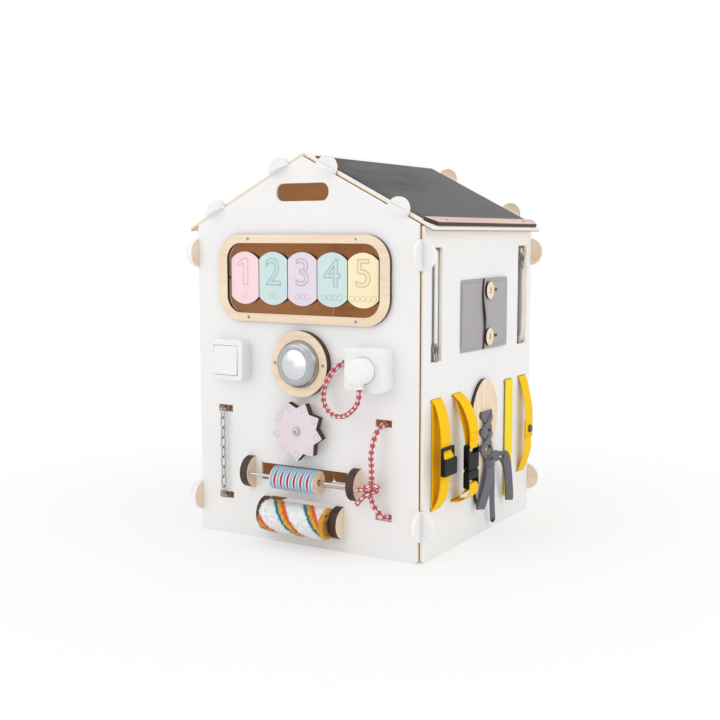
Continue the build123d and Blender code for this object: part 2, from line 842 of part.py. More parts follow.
tether_points = [
    front_point(tether_hole_x, -ply, tether_hole_z),
    front_point(tether_hole_x, 5, tether_hole_z),
    front_point(tether_hole_x - 9, 15, tether_hole_z - 10),
    front_point(tether_hole_x - tether_swing, 19, tether_hole_z - 32),
    front_point(tether_hole_x - tether_swing - 1, tether_near_off, tether_hole_z - tether_fall),
    front_point(tether_hole_x - 5, tether_low_off, tether_hole_z - tether_drop),
    front_point(tether_hole_x + tether_swing, tether_far_off, tether_hole_z - tether_drop),
    front_point(socket_x - 9, tether_high_off, tether_hole_z - tether_rise),
    front_point(socket_x, plug_boss_off, plug_boss_z - 14),
    front_point(socket_x, plug_boss_off, plug_boss_z),
]
plug_cord = rope("plug_cord", tether_diameter, tether_points)
save(plug_cord, "plug_cord")

# Star gear on a bolt with a collar behind it
gear_back = gear_stand_off + gear_play
with BuildPart() as star_gear:
    with BuildSketch(front_plane(0, gear_z, gear_back)) as star:
        corners = []
        for step in range(2 * gear_teeth):
            reach = gear_root if step % 2 else gear_tip
            angle = radians(-90 + step * 180 / gear_teeth)
            corners.append((reach * cos(angle), reach * sin(angle)))
        Polygon(*corners, align=None)
        tips = star.vertices().sort_by_distance((0, 0, 0))[-gear_teeth:]
        fillet(tips, gear_tip_round)
        Circle(gear_bolt_diameter / 2 + run_fit, mode=Mode.SUBTRACT)
    extrude(amount=gear_thickness)
save(star_gear, "star_gear")

gear_bolt_seat = gear_back + gear_thickness + gear_play
with BuildPart() as gear_bolt:
    with BuildSketch(front_plane(0, gear_z, gear_bolt_seat)):
        Circle(gear_bolt_head / 2)
    extrude(amount=gear_bolt_head_height)
    fillet(gear_bolt.faces().sort_by(Axis.Y)[0].edges(), gear_bolt_head_height / 2)
    with BuildSketch(front_plane(0, gear_z, gear_bolt_seat)):
        Circle(gear_bolt_diameter / 2)
    extrude(amount=-(gear_bolt_seat + ply + gear_nut_height))
    with BuildSketch(front_plane(0, gear_z)):
        Circle(gear_collar_diameter / 2)
        Circle(gear_bolt_diameter / 2 + screw_fit, mode=Mode.SUBTRACT)
    extrude(amount=gear_stand_off)
    with BuildSketch(front_plane(0, gear_z, -ply)):
        RegularPolygon(gear_nut_width / 2, 6, major_radius=False)
        Circle(gear_bolt_diameter / 2 + screw_fit, mode=Mode.SUBTRACT)
    extrude(amount=-gear_nut_height)
save(gear_bolt, "gear_bolt")

# Chain: upright links between two links that lie through the wall, each held by a cross pin inside
chain_span = cord_slot_high - cord_slot_low + chain_wire + 2 * chain_play
chain_eye = (chain_span + (chain_count - 1) * chain_play) / chain_count
chain_pitch = chain_eye - chain_play
chain_pin_off = -ply - chain_play - chain_pin_diameter / 2
through_off = chain_pin_off - chain_pin_diameter / 2 - chain_play + chain_eye / 2
chain_rise = through_off + chain_eye / 2 + chain_wire / 2


def chain_link(plane):
    """A link of round wire, its long way along the plane's local y: two sides and two half rings."""
    reach = (chain_eye_width + chain_wire) / 2
    straight = (chain_eye - chain_eye_width) / 2
    across = Plane(plane.origin, x_dir=plane.x_dir, z_dir=plane.y_dir)
    with BuildPart() as link:
        with BuildSketch(across):
            with Locations((-reach, 0), (reach, 0)):
                Circle(chain_wire / 2)
        extrude(amount=straight, both=True)
        for end in (-1, 1):
            with BuildSketch(across.offset(end * straight)):
                with Locations((reach, 0)):
                    Circle(chain_wire / 2)
            revolve(axis=Axis(plane.origin + plane.y_dir * end * straight, plane.z_dir * end), revolution_arc=180)
    return link.part


links = []
for number in range(chain_count):
    link_z = cord_slot_high + chain_wire / 2 + chain_play - chain_eye / 2 - number * chain_pitch
    section = front_section if number % 2 == 0 else front_plane
    links.append(chain_link(section(chain_x, link_z, chain_rise)))
for link_z in (cord_slot_low, cord_slot_high):
    flat = Plane(front_point(chain_x, through_off, link_z), x_dir=(1, 0, 0), z_dir=(0, 0, 1))
    links.append(chain_link(flat))

with BuildPart() as chain_links:
    add(links)
    with Locations(*[front_point(chain_x, chain_pin_off, z) for z in (cord_slot_low, cord_slot_high)]):
        Cylinder(chain_pin_diameter / 2, chain_pin_length)
save(chain_links, "chain_links")

# Knotted rope between two slots
rope_edge = cord_slot_height / 2 - rope_diameter / 2 - rope_slot_gap
knot_x = rope_x - 9
knot_off = 20.0
knot_z = 110.0
knot_width = 25.0
knot_height = 27.0
rope_high = cord_slot_high - rope_edge
rope_low = cord_slot_low + rope_edge
upper_points = [
    front_point(rope_x, -ply - 8, rope_high + 1),
    front_point(rope_x, 3, rope_high),
    front_point(rope_x - 1, 16, rope_high - 6),
    front_point(rope_x - 4, 24, rope_high - 22),
    front_point(rope_x - 8, 25, rope_high - 46),
    front_point(knot_x, knot_off, knot_z + knot_height / 2 + 18),
    front_point(knot_x, knot_off, knot_z + knot_height / 2),
]
rope_upper = rope("rope_upper", rope_diameter, upper_points)
save(rope_upper, "rope_upper")

lower_points = [
    front_point(knot_x, knot_off, knot_z - knot_height / 2),
    front_point(knot_x, knot_off, knot_z - knot_height / 2 - 8),
    front_point(rope_x + 2, 17, rope_low + 9),
    front_point(rope_x + 8, 7, rope_low - 1),
    front_point(rope_x + 9, -ply - 4, rope_low - 1.2),
]
rope_lower = rope("rope_lower", rope_diameter, lower_points)
save(rope_lower, "rope_lower")

with BuildPart() as rope_knot:
    with BuildSketch(front_plane(knot_x, knot_z, knot_off)):
        with BuildLine():
            Line((0, knot_height / 2), (0, -knot_height / 2))
            Line((0, -knot_height / 2), (rope_diameter / 2, -knot_height / 2))
            ThreePointArc((rope_diameter / 2, -knot_height / 2), (knot_width / 2, 0),
                          (rope_diameter / 2, knot_height / 2))
            Line((rope_diameter / 2, knot_height / 2), (0, knot_height / 2))
        make_face()
    revolve(axis=Axis(front_point(knot_x, knot_off, knot_z), (0, 0, 1)))
    for start_z, end_z in ((5, -3), (-4, -24)):
        start = Vector(*front_point(knot_x - 6, knot_off + 1, knot_z + start_z))
        tail = Vector(*front_point(knot_x - 22, knot_off + 4, knot_z + end_z))
        with BuildSketch(Plane(start, z_dir=tail - start)):
            Circle(rope_diameter / 2)
        extrude(amount=(tail - start).length)
save(rope_knot, "rope_knot")

# Rollers on rods between D brackets
bracket_places = []
for span, axis_z in ((roller_span, roller_z), (fleece_span, fleece_z)):
    for side in (-1, 1):
        bracket_places.append((side, span / 2, axis_z))

with BuildPart() as roller_brackets:
    for side, inner, axis_z in bracket_places:
        with BuildSketch(front_section(side * (inner + bracket_thickness / 2), axis_z)):
            Circle(bracket_radius)
            Rectangle(bracket_radius, 2 * bracket_radius, align=(Align.MIN, Align.CENTER), mode=Mode.INTERSECT)
        extrude(amount=bracket_thickness / 2, both=True)
    for side, inner, axis_z in bracket_places:
        with BuildSketch(front_section(side * inner, axis_z, roller_axis_off)):
            Circle(roller_rod / 2 + rod_fit)
        extrude(amount=-side * rod_seat, mode=Mode.SUBTRACT)
save(roller_brackets, "roller_brackets")


def fixed_rod(span, axis_z):
    with BuildPart() as rod:
        with BuildSketch(front_section(0, axis_z, roller_axis_off)):
            Circle(roller_rod / 2)
        extrude(amount=span / 2 + rod_seat - lap_fit, both=True)
    return rod


slide_rod = fixed_rod(roller_span, roller_z)
save(slide_rod, "slide_rod")
fleece_axle = fixed_rod(fleece_span, fleece_z)
save(fleece_axle, "fleece_axle")

bush_radius = roller_rod / 2 + run_fit + roller_bush_wall
with BuildPart() as roller_bush:
    with BuildSketch(front_section(0, roller_z, roller_axis_off)):
        Circle(bush_radius)
        Circle(roller_rod / 2 + run_fit, mode=Mode.SUBTRACT)
    extrude(amount=roller_length / 2 + roller_bush_proud, both=True)
save(roller_bush, "roller_bush")

with BuildPart() as slide_roller:
    with BuildSketch(front_section(0, roller_z, roller_axis_off)):
        Circle(roller_diameter / 2)
        Circle(bush_radius + run_fit, mode=Mode.SUBTRACT)
    extrude(amount=roller_length / 2, both=True)
save(slide_roller, "slide_roller")

with BuildPart() as fleece_core:
    core_half = fleece_length / 2 - fleece_core_inset
    with BuildSketch(front_section(0, fleece_z, roller_axis_off)):
        Circle(fleece_core_diameter / 2)
        Circle(roller_rod / 2 + run_fit, mode=Mode.SUBTRACT)
    extrude(amount=core_half, both=True)
    with BuildSketch(front_section(0, fleece_z, roller_axis_off)):
        Circle(fleece_core_diameter / 2 - fleece_core_wall)
    extrude(amount=core_half - fleece_end_wall, both=True, mode=Mode.SUBTRACT)
save(fleece_core, "fleece_core")

with BuildPart() as fleece_cover:
    with BuildSketch(front_section(0, fleece_z, roller_axis_off)):
        Circle(fleece_diameter / 2)
        Circle(fleece_core_diameter / 2, mode=Mode.SUBTRACT)
    extrude(amount=fleece_length / 2, both=True)
    rims = fleece_cover.edges().filter_by(GeomType.CIRCLE).sort_by(SortBy.RADIUS)[-2:]
    fillet(rims, (fleece_diameter - fleece_core_diameter) / 4)
save(fleece_cover, "fleece_cover")

# Zips behind two slots of the right wall
zip_tape_off = -ply - zip_tape_gap
zip_teeth_top = zip_tape_off + zip_teeth_height
zip_slider_back = zip_teeth_top + zip_slider_fit
zip_slider_front = zip_slider_back + zip_slider_thickness
zip_reach = zip_slot_height / 2 - zip_slider_length / 2 - zip_slider_margin
pull_axis_off = zip_slider_front + (zip_bridge_height - zip_bridge_wire) / 2
bridge_half = zip_bridge_height - zip_bridge_wire / 2

with BuildPart() as zip_tapes:
    for y in (zip_front_y, zip_back_y):
        with BuildSketch(right_plane(y, zip_slot_z, zip_tape_off)):
            Rectangle(zip_slot_width + 2 * zip_tape_margin, zip_slot_height + 2 * zip_tape_margin)
        extrude(amount=-zip_tape_thickness)
        with BuildSketch(right_plane(y, zip_slot_z, zip_tape_off)):
            Rectangle(zip_teeth_width, zip_slot_height)
        extrude(amount=zip_teeth_height)
save(zip_tapes, "zip_tapes")


def zip_slider(y, z):
    """A slider that straddles the teeth, tapered to its lower end, with a bridge for its pull."""
    with BuildPart() as slider:
        with BuildSketch(right_plane(y, z, zip_slider_back)) as face:
            Trapezoid(zip_slider_width, zip_slider_length, 80)
            fillet(face.vertices(), zip_slider_width / 8)
        extrude(amount=zip_slider_thickness)
        with BuildSketch(right_plane(y, z, zip_slider_back)):
            flange = (zip_teeth_width + 2 * zip_slider_fit + zip_bridge_wire)
            with GridLocations(flange, 0, 2, 1):
                Rectangle(zip_bridge_wire, zip_slider_length * 0.6)
        extrude(amount=-(zip_teeth_height - zip_slider_fit))
        with BuildSketch(right_section(y, z, zip_slider_front)):
            with Locations((zip_bridge_height / 2, 0)):
                Rectangle(zip_bridge_height, 2 * bridge_half)
            with Locations(((zip_bridge_height - zip_bridge_wire) / 2, 0)):
                Rectangle(zip_bridge_height - zip_bridge_wire, 2 * (bridge_half - zip_bridge_wire), mode=Mode.SUBTRACT)
        extrude(amount=zip_bridge_width / 2, both=True)
    return slider


def zip_pull(y, z):
    """A flat pull that hangs from the bar under the slider's bridge."""
    arm = (zip_pull_width - zip_bridge_width - 2 * zip_slider_fit) / 2
    bar = zip_pull_thickness / 2
    with BuildPart() as pull:
        with BuildSketch(right_plane(y, z, pull_axis_off)) as face:
            Rectangle(zip_pull_width, zip_pull_length, align=(Align.CENTER, Align.MAX))
            fillet(face.vertices().group_by(Axis.Y)[0], zip_pull_width / 3)
            with Locations((0, -bar)):
                Rectangle(zip_pull_width - 2 * arm, zip_pull_window, align=(Align.CENTER, Align.MAX),
                          mode=Mode.SUBTRACT)
        extrude(amount=zip_pull_thickness / 2, both=True)
        with BuildSketch(right_section(y, z, pull_axis_off)):
            Circle(bar)
        extrude(amount=zip_pull_width / 2, both=True)
    return pull


zip_slider_front_z = zip_slot_z - zip_reach
zip_slider_back_z = zip_slot_z + zip_reach
save(zip_slider(zip_front_y, zip_slider_front_z), "zip_slider_front")
save(zip_pull(zip_front_y, zip_slider_front_z), "zip_pull_front")
save(zip_slider(zip_back_y, zip_slider_back_z), "zip_slider_back")
save(zip_pull(zip_back_y, zip_slider_back_z), "zip_pull_back")

# Two cloth flaps, held by tabs in slits, the right one buttoned over the left one
flap_low_off = flap_gap
flap_high_off = flap_low_off + flap_thickness + flap_gap
buttons = [(button_y, upper_z + z) for z in (-button_spacing / 2, button_spacing / 2)]

with BuildPart() as flap_left:
    with BuildSketch(right_plane(0, upper_z, flap_low_off)):
        middle = (flap_left_y - flap_thickness + flap_under_y) / 2
        with Locations((middle, 0)):
            RectangleRounded(flap_under_y - flap_left_y + flap_thickness, flap_height, flap_round)
    extrude(amount=flap_thickness)
    with BuildSketch(right_plane(flap_left_y - flap_thickness / 2, upper_z, flap_low_off)):
        Rectangle(flap_thickness, flap_tab_height)
    extrude(amount=-(flap_tab_depth + ply))
save(flap_left, "flap_left")

with BuildPart() as flap_right:
    with BuildSketch(right_plane(0, upper_z, flap_high_off)) as face:
        outer = flap_right_y + flap_thickness
        half = flap_height / 2
        with BuildLine():
            Line((flap_edge_y, -half), (outer, -half))
            Line((outer, -half), (outer, half))
            Line((outer, half), (flap_edge_y, half))
            ThreePointArc((flap_edge_y, half), (flap_edge_y - flap_wave, half / 2), (flap_edge_y, 0))
            ThreePointArc((flap_edge_y, 0), (flap_edge_y + flap_wave, -half / 2), (flap_edge_y, -half))
        make_face()
        fillet(face.vertices().group_by(Axis.X)[-1], flap_round)
        with Locations(*[(y + buttonhole_length / 2 - button_shank, z - upper_z) for y, z in buttons]):
            SlotOverall(buttonhole_length, button_shank + 2 * flap_gap, mode=Mode.SUBTRACT)
    extrude(amount=flap_thickness)
    with BuildSketch(right_plane(flap_right_y + flap_thickness / 2, upper_z, flap_high_off)):
        Rectangle(flap_thickness, flap_tab_height)
    extrude(amount=-(flap_high_off + ply + flap_tab_depth))
save(flap_right, "flap_right")

with BuildPart() as flap_buttons:
    for y, z in buttons:
        shank_off = flap_low_off + flap_thickness
        disc_off = flap_high_off + flap_thickness + flap_gap
        with BuildSketch(right_plane(y, z, shank_off)):
            Circle(button_shank / 2)
        extrude(amount=disc_off - shank_off)
        with BuildSketch(right_plane(y, z, disc_off)):
            Circle(button_diameter / 2)
        extrude(amount=button_thickness)
save(flap_buttons, "flap_buttons")

# Straps of one webbing: each comes out of a slot, bulges and goes back in
inside_off = -ply - webbing_gap - webbing_thickness / 2
flat_off = webbing_gap + webbing_thickness / 2
layer = (webbing_thickness + webbing_gap) / 2


def webbing(y, route, tight=(0,)):
    """A strap that turns sharply at the tight corners, which lie in or behind the wall's slots."""
    points = [right_point(y, off, z) for off, z in route]
    radii = bend_radii(points)
    for corner in tight:
        radii[corner] = webbing_bend
    return band(points, radii, (0, 1, 0), webbing_width, webbing_thickness)


ladder_back = ladder_off - webbing_gap - webbing_thickness / 2
ladder_front = ladder_off + ladder_thickness + webbing_gap + webbing_thickness / 2
ladder_slot = (ladder_height - 2 * ladder_bar - ladder_middle_bar) / 2
ladder_half = ladder_height / 2
ladder_route = [
    (inside_off, strap_slot_high + strap_tail),
    (inside_off, strap_slot_high + layer),
    (5, strap_slot_high + layer - 2),
    (13, strap_slot_high - 22),
    (ladder_back - 1, ladder_z + ladder_half + 14),
    (ladder_back, ladder_z + ladder_half - ladder_bar - 3),
    (ladder_front, ladder_z + ladder_middle_bar / 2 + 2),
    (ladder_front, ladder_z - ladder_middle_bar / 2 - 2),
    (ladder_back, ladder_z - ladder_half + ladder_bar + 3),
    (ladder_back - 1, ladder_z - ladder_half - 10),
    (11, strap_slot_low + 16),
    (5, strap_slot_low - layer + 1),
    (inside_off, strap_slot_low - layer),
    (inside_off, strap_slot_low - strap_tail),
]


flat_route = [
    (inside_off, strap_slot_high - layer - strap_tail),
    (inside_off, strap_slot_high - layer),
    (flat_off, strap_slot_high - layer),
    (flat_off, strap_slot_low + layer),
    (inside_off, strap_slot_low + layer),
    (inside_off, strap_slot_low + layer + strap_tail),
]
ladder_band = webbing(ladder_y, ladder_route, (0, -1))
ladder_return = webbing(ladder_y, flat_route, (0, 1, 2, 3))
with BuildPart() as ladder_strap:
    add(ladder_band.part)
    add(ladder_return.part)
save(ladder_strap, "ladder_strap")

with BuildPart() as ladder_buckle:
    with BuildSketch(right_plane(ladder_y, ladder_z, ladder_off)):
        RectangleRounded(ladder_width, ladder_height, ladder_bar / 2)
        with GridLocations(0, ladder_slot + ladder_middle_bar, 1, 2):
            Rectangle(webbing_width + 2 * webbing_gap, ladder_slot, mode=Mode.SUBTRACT)
    extrude(amount=ladder_thickness)
    cover_height = ladder_half + ladder_cover_rise
    cover_mid = ladder_z + (ladder_cover_rise - ladder_half) / 2
    cheek_off = ladder_off + ladder_thickness
    cheek_height = webbing_thickness + 3 * webbing_gap
    with BuildSketch(right_plane(ladder_y, cover_mid, cheek_off)):
        Rectangle(ladder_width, cover_height)
        Rectangle(webbing_width + 2 * webbing_gap, cover_height, mode=Mode.SUBTRACT)
    extrude(amount=cheek_height)
    with BuildSketch(right_plane(ladder_y, cover_mid, cheek_off + cheek_height)):
        RectangleRounded(ladder_width, cover_height, ladder_bar / 2)
    extrude(amount=ladder_cover)
save(ladder_buckle, "ladder_buckle")

# Side-release buckle: a hollow half on the upper strap and a pronged half on the lower one
clip_turn = clip_bar / 2 + webbing_gap + webbing_thickness / 2
clip_socket_top = clip_z + clip_socket_height
clip_plug_low = clip_z - clip_fit - clip_plug_height
clip_high_bar = clip_socket_top - clip_bar / 2
clip_low_bar = clip_plug_low + clip_bar / 2
clip_back = clip_off - clip_thickness / 2
clip_loop = clip_width - 2 * clip_rail


def clip_round_bar(z):
    with Locations(right_section(clip_y, z, clip_off)):
        Cylinder(clip_bar / 2, clip_width - clip_rail)


with BuildPart() as clip_buckle_socket:
    with BuildSketch(right_plane(clip_y, clip_z + clip_socket_height / 2, clip_back)):
        RectangleRounded(clip_width, clip_socket_height, clip_round)
    extrude(amount=clip_thickness)
    fillet(clip_buckle_socket.faces().sort_by(Axis.X)[-1].edges(), clip_edge)
    with BuildSketch(right_plane(clip_y, clip_socket_top, clip_back)):
        Rectangle(clip_loop, 2 * clip_ladder, mode=Mode.ADD)
    extrude(amount=clip_thickness, mode=Mode.SUBTRACT)
    clip_round_bar(clip_high_bar)
    with BuildSketch(Plane((right_out + clip_off, house_y + clip_y, clip_z), x_dir=(0, 1, 0), z_dir=(0, 0, 1))):
        Rectangle(clip_cavity_width, clip_cavity_height)
    extrude(amount=clip_cavity_depth, mode=Mode.SUBTRACT)
    with BuildSketch(right_plane(clip_y, clip_z + clip_cavity_depth - clip_window, clip_off)):
        Rectangle(clip_width, clip_window)
    extrude(amount=clip_cavity_height / 2, both=True, mode=Mode.SUBTRACT)
save(clip_buckle_socket, "clip_buckle_socket")

with BuildPart() as clip_buckle_plug:
    with BuildSketch(right_plane(clip_y, clip_plug_low + clip_plug_height / 2, clip_back)):
        RectangleRounded(clip_width, clip_plug_height, clip_round)
    extrude(amount=clip_thickness)
    fillet(clip_buckle_plug.faces().sort_by(Axis.X)[-1].edges(), clip_edge)
    with BuildSketch(right_plane(clip_y, clip_plug_low, clip_back)):
        Rectangle(clip_loop, 2 * clip_ladder)
    extrude(amount=clip_thickness, mode=Mode.SUBTRACT)
    clip_round_bar(clip_low_bar)
    prong_reach = clip_cavity_depth - clip_fit
    prong_root = clip_fit + clip_edge
    with BuildSketch(right_plane(clip_y, clip_z, clip_off)):
        with Locations((0, -prong_root)):
            Rectangle(clip_guide, prong_root + prong_reach, align=(Align.CENTER, Align.MIN))
        prong_y = clip_cavity_width / 2 - clip_fit - clip_prong / 2
        with Locations((-prong_y, -prong_root), (prong_y, -prong_root)):
            Rectangle(clip_prong, prong_root + prong_reach, align=(Align.CENTER, Align.MIN))
    extrude(amount=clip_cavity_height / 2 - clip_fit, both=True)
save(clip_buckle_plug, "clip_buckle_plug")

clip_upper_route = [
    (inside_off, strap_slot_high + strap_tail),
    (inside_off, strap_slot_high + layer),
    (8, strap_slot_high + layer - 2),
    (22, strap_slot_high - 24),
    (clip_off + clip_turn, clip_high_bar + 26),
    (clip_off + clip_turn, clip_high_bar - clip_turn),
    (clip_off - clip_turn, clip_high_bar - clip_turn),
    (clip_off - clip_turn - 1, clip_high_bar + 16),
    (clip_off - clip_turn - 9, clip_high_bar + 42),
]
clip_lower_route = [
    (inside_off, strap_slot_low - strap_tail),
    (inside_off, strap_slot_low - layer),
    (8, strap_slot_low - layer + 1),
    (24, strap_slot_low + 6),
    (clip_off + clip_turn, clip_low_bar - 8),
    (clip_off + clip_turn, clip_low_bar + clip_turn),
    (clip_off - clip_turn, clip_low_bar + clip_turn),
    (clip_off - clip_turn - 2, clip_low_bar - 7),
    (clip_off - clip_turn - 13, strap_slot_low + 9),
]
clip_strap_upper = webbing(clip_y, clip_upper_route)
save(clip_strap_upper, "clip_strap_upper")
clip_strap_lower = webbing(clip_y, clip_lower_route)
save(clip_strap_lower, "clip_strap_lower")

# Hook-and-loop strap with its patch, and the strap with a snap
with BuildPart() as hook_strap:
    with BuildSketch(right_section(hook_y)):
        strip_off = webbing_thickness + 2 * webbing_gap
        with BuildLine():
            Polyline((strip_off, hook_tail_z), (strip_off + webbing_thickness, hook_tail_z),
                     (strip_off + webbing_thickness, strap_slot_high + webbing_thickness / 2),
                     (inside_off, strap_slot_high + webbing_thickness / 2),
                     (inside_off, strap_slot_high + strap_tail),
                     (inside_off - webbing_thickness, strap_slot_high + strap_tail),
                     (inside_off - webbing_thickness, strap_slot_high - webbing_thickness / 2),
                     (strip_off, strap_slot_high - webbing_thickness / 2), close=True)
        make_face()
    extrude(amount=webbing_width / 2, both=True)
    with BuildSketch(right_plane(hook_y, hook_tail_z + hook_patch_height / 2, 0)):
        Rectangle(webbing_width, hook_patch_height)
    extrude(amount=webbing_thickness + webbing_gap)
save(hook_strap, "hook_strap")

snap_upper_route = [
    (inside_off, strap_slot_high + strap_tail),
    (inside_off, strap_slot_high),
    (4, strap_slot_high - 1),
    (9, strap_slot_high - 20),
    (snap_bulge + layer, snap_z + 34),
    (snap_bulge + layer, snap_z - snap_overlap),
]
snap_lower_route = [
    (inside_off, strap_slot_low - strap_tail),
    (inside_off, strap_slot_low),
    (4, strap_slot_low + 1),
    (9, strap_slot_low + 18),
    (snap_bulge - layer, snap_z - 38),
    (snap_bulge - layer, snap_z + snap_overlap),
]
snap_upper = webbing(snap_y, snap_upper_route)
snap_lower = webbing(snap_y, snap_lower_route)
with BuildPart() as snap_strap:
    add(snap_upper.part)
    add(snap_lower.part)
    with BuildSketch(right_plane(snap_y, snap_z, snap_bulge)):
        Circle(snap_post / 2 + rod_fit)
    extrude(amount=3 * webbing_thickness, both=True, mode=Mode.SUBTRACT)
save(snap_strap, "snap_strap")

with BuildPart() as snap_button:
    stack = webbing_thickness + layer + webbing_gap / 2
    with BuildSketch(right_plane(snap_y, snap_z, snap_bulge)):
        Circle(snap_post / 2)
    extrude(amount=stack + snap_cap / 2, both=True)
    with BuildSketch(right_plane(snap_y, snap_z, snap_bulge + stack)):
        Circle(snap_diameter / 2)
    extrude(amount=snap_cap)
    fillet(snap_button.faces().sort_by(Axis.X)[-1].edges(), snap_cap / 2)
    with BuildSketch(right_plane(snap_y, snap_z, snap_bulge - stack)):
        Circle(snap_diameter / 2)
    extrude(amount=-snap_cap / 2)
save(snap_button, "snap_button")

# Shoe sole with eyelets, a crossed lace and its bow
eyelets = []
for row in range(eyelet_rows):
    for side in (-1, 1):
        eyelets.append((shoe_y + side * eyelet_spacing / 2, eyelet_top_z - row * eyelet_pitch))
shoe_long = shoe_toe_z - shoe_heel_z

with BuildPart() as shoe_sole:
    with BuildSketch(right_plane(shoe_y, shoe_heel_z)):
        with BuildLine():
            Spline((0, 0), (shoe_heel_half, shoe_long * 0.19), (shoe_waist_half, shoe_long * 0.42),
                   (shoe_ball_half, shoe_long * 0.76), (0, shoe_long), (-shoe_ball_half, shoe_long * 0.76),
                   (-shoe_waist_half, shoe_long * 0.42), (-shoe_heel_half, shoe_long * 0.19), periodic=True)
        make_face()
        with Locations(*[(y - shoe_y, z - shoe_heel_z) for y, z in eyelets]):
            Circle(eyelet_tube / 2 + eyelet_fit, mode=Mode.SUBTRACT)
    extrude(amount=shoe_thickness)
save(shoe_sole, "shoe_sole")

with BuildPart() as shoe_eyelets:
    for y, z in eyelets:
        with BuildSketch(right_plane(y, z)):
            Circle(eyelet_tube / 2)
            Circle(eyelet_bore / 2, mode=Mode.SUBTRACT)
        extrude(amount=shoe_thickness)
        with BuildSketch(right_plane(y, z, shoe_thickness)):
            Circle(eyelet_flange / 2)
            Circle(eyelet_bore / 2, mode=Mode.SUBTRACT)
        extrude(amount=eyelet_flange_thickness)
save(shoe_eyelets, "shoe_eyelets")

lace_off = shoe_thickness + eyelet_flange_thickness + lace_gap
knot_middle = (shoe_y, lace_knot_z)
crossings = [(eyelets[0], eyelets[1]), (eyelets[0], eyelets[3]), (eyelets[1], eyelets[2]),
             (eyelets[2], eyelets[5]), (eyelets[3], eyelets[4]),
             (eyelets[4], knot_middle), (eyelets[5], knot_middle)]
bow_low_off = lace_off + lace_thickness / 2
bow_high_off = bow_low_off + bow_knot / 2


def bow_band(end_y, end_z, folded):
    """A loop or a tail of the bow, leaning from the knot to its lower end."""
    start = Vector(*right_point(shoe_y, bow_high_off, lace_knot_z))
    end = Vector(*right_point(end_y, bow_high_off, end_z))
    lean = (end - start).normalized()
    out = Vector(1, 0, 0)
    reach = (end - start).length
    points = [start, start + lean * reach * 0.5 + out * bow_swell, end + out * bow_swell / 2]
    if folded:
        points += [end - out * bow_swell / 2, start + lean * reach * 0.4 - out * bow_swell / 4]
    points = [tuple(point) for point in points]
    return band(points, bend_radii(points), tuple(lean.cross(out)), lace_width, lace_thickness)


bow_left = bow_band(shoe_y + bow_left_y, bow_left_z, True)
bow_right = bow_band(shoe_y + bow_right_y, bow_right_z, True)
bow_tail = bow_band(shoe_y + bow_tail_y, bow_tail_z, False)
with BuildPart() as shoe_lace:
    for start, end in crossings:
        run = Vector(*end) - Vector(*start)
        middle = (Vector(*start) + Vector(*end)) / 2
        with BuildSketch(right_plane(middle.X, middle.Y, lace_off)):
            Rectangle(run.length, lace_width, rotation=Vector(1, 0).get_signed_angle(run))
        extrude(amount=lace_thickness)
    with BuildSketch(right_plane(shoe_y, lace_knot_z, lace_off)):
        RectangleRounded(bow_knot * 1.4, bow_knot, bow_knot / 3)
    extrude(amount=bow_knot)
    for loop in (bow_left, bow_right, bow_tail):
        add(loop.part)
save(shoe_lace, "shoe_lace")
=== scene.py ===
from math import cos, pi, radians, sin

import bmesh
import bpy
from mathutils import Matrix, Vector


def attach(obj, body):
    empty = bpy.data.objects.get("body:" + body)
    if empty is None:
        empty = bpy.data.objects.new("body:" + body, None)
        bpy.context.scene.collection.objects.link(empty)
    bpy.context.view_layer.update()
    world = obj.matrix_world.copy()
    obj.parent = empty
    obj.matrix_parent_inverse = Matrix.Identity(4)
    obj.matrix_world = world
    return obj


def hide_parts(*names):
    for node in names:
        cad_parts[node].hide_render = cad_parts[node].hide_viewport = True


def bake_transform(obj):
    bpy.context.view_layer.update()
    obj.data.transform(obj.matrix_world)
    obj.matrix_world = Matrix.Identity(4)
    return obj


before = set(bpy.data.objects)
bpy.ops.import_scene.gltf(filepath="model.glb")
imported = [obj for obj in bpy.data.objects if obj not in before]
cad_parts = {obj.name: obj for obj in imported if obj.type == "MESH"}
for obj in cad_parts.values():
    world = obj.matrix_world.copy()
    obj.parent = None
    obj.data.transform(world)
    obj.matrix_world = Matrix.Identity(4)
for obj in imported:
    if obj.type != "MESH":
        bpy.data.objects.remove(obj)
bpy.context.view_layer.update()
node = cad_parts

# Sizes and places of the house, in millimetres. Ears start past a reach from the middle along an axis.
MM = 0.001
PLY, VENEER = 6.0, 1.2
HOUSE_X, HOUSE_Y = -5.7, 11.8
FRONT_OUT, BACK_OUT = -194.2, 217.8
LEFT_OUT, RIGHT_OUT = -211.7, 200.3
PITCH, RIDGE_Z = radians(27), 601.405
ROOF_EARS = ("Y", HOUSE_Y, 200.2)
GABLE_EARS = ("X", HOUSE_X, 206.2)
SIDE_EARS = ("Y", HOUSE_Y, 206.2)

# Toys on the front wall: their heights, and how far off it the rollers turn and the plug's pins begin
WINDOW_Z, ROW_Z, GEAR_Z, ROLLER_Z, FLEECE_Z = 416.5, 287.0, 184.0, 108.5, 46.0
ROLLER_OFF, PIN_OFF = 18.6, 20.9

# Toys on the right wall: their places along it and up
ZIP_Y, ZIP_Z = 161, 381.29
FLAP_Z, FLAP_HALF = 358.5, 56.5
LADDER_Y, CLIP_Y, HOOK_Y, SNAP_Y = -161, -91, 105, 165
OUT = Vector((1, 0, 0))

# How braid and pile are laid
ROPE_STRANDS, ROPE_LAY = 4, 10.0
FLEECE_LAY, FLEECE_START = 55.0, 0.24


def front(x, off, z):
    """A place on the front wall: along it, off it and up."""
    return Vector((HOUSE_X + x, FRONT_OUT - off, z)) * MM


def right(y, off, z):
    """A place on the right wall: along it, off it and up."""
    return Vector((RIGHT_OUT + off, HOUSE_Y + y, z)) * MM


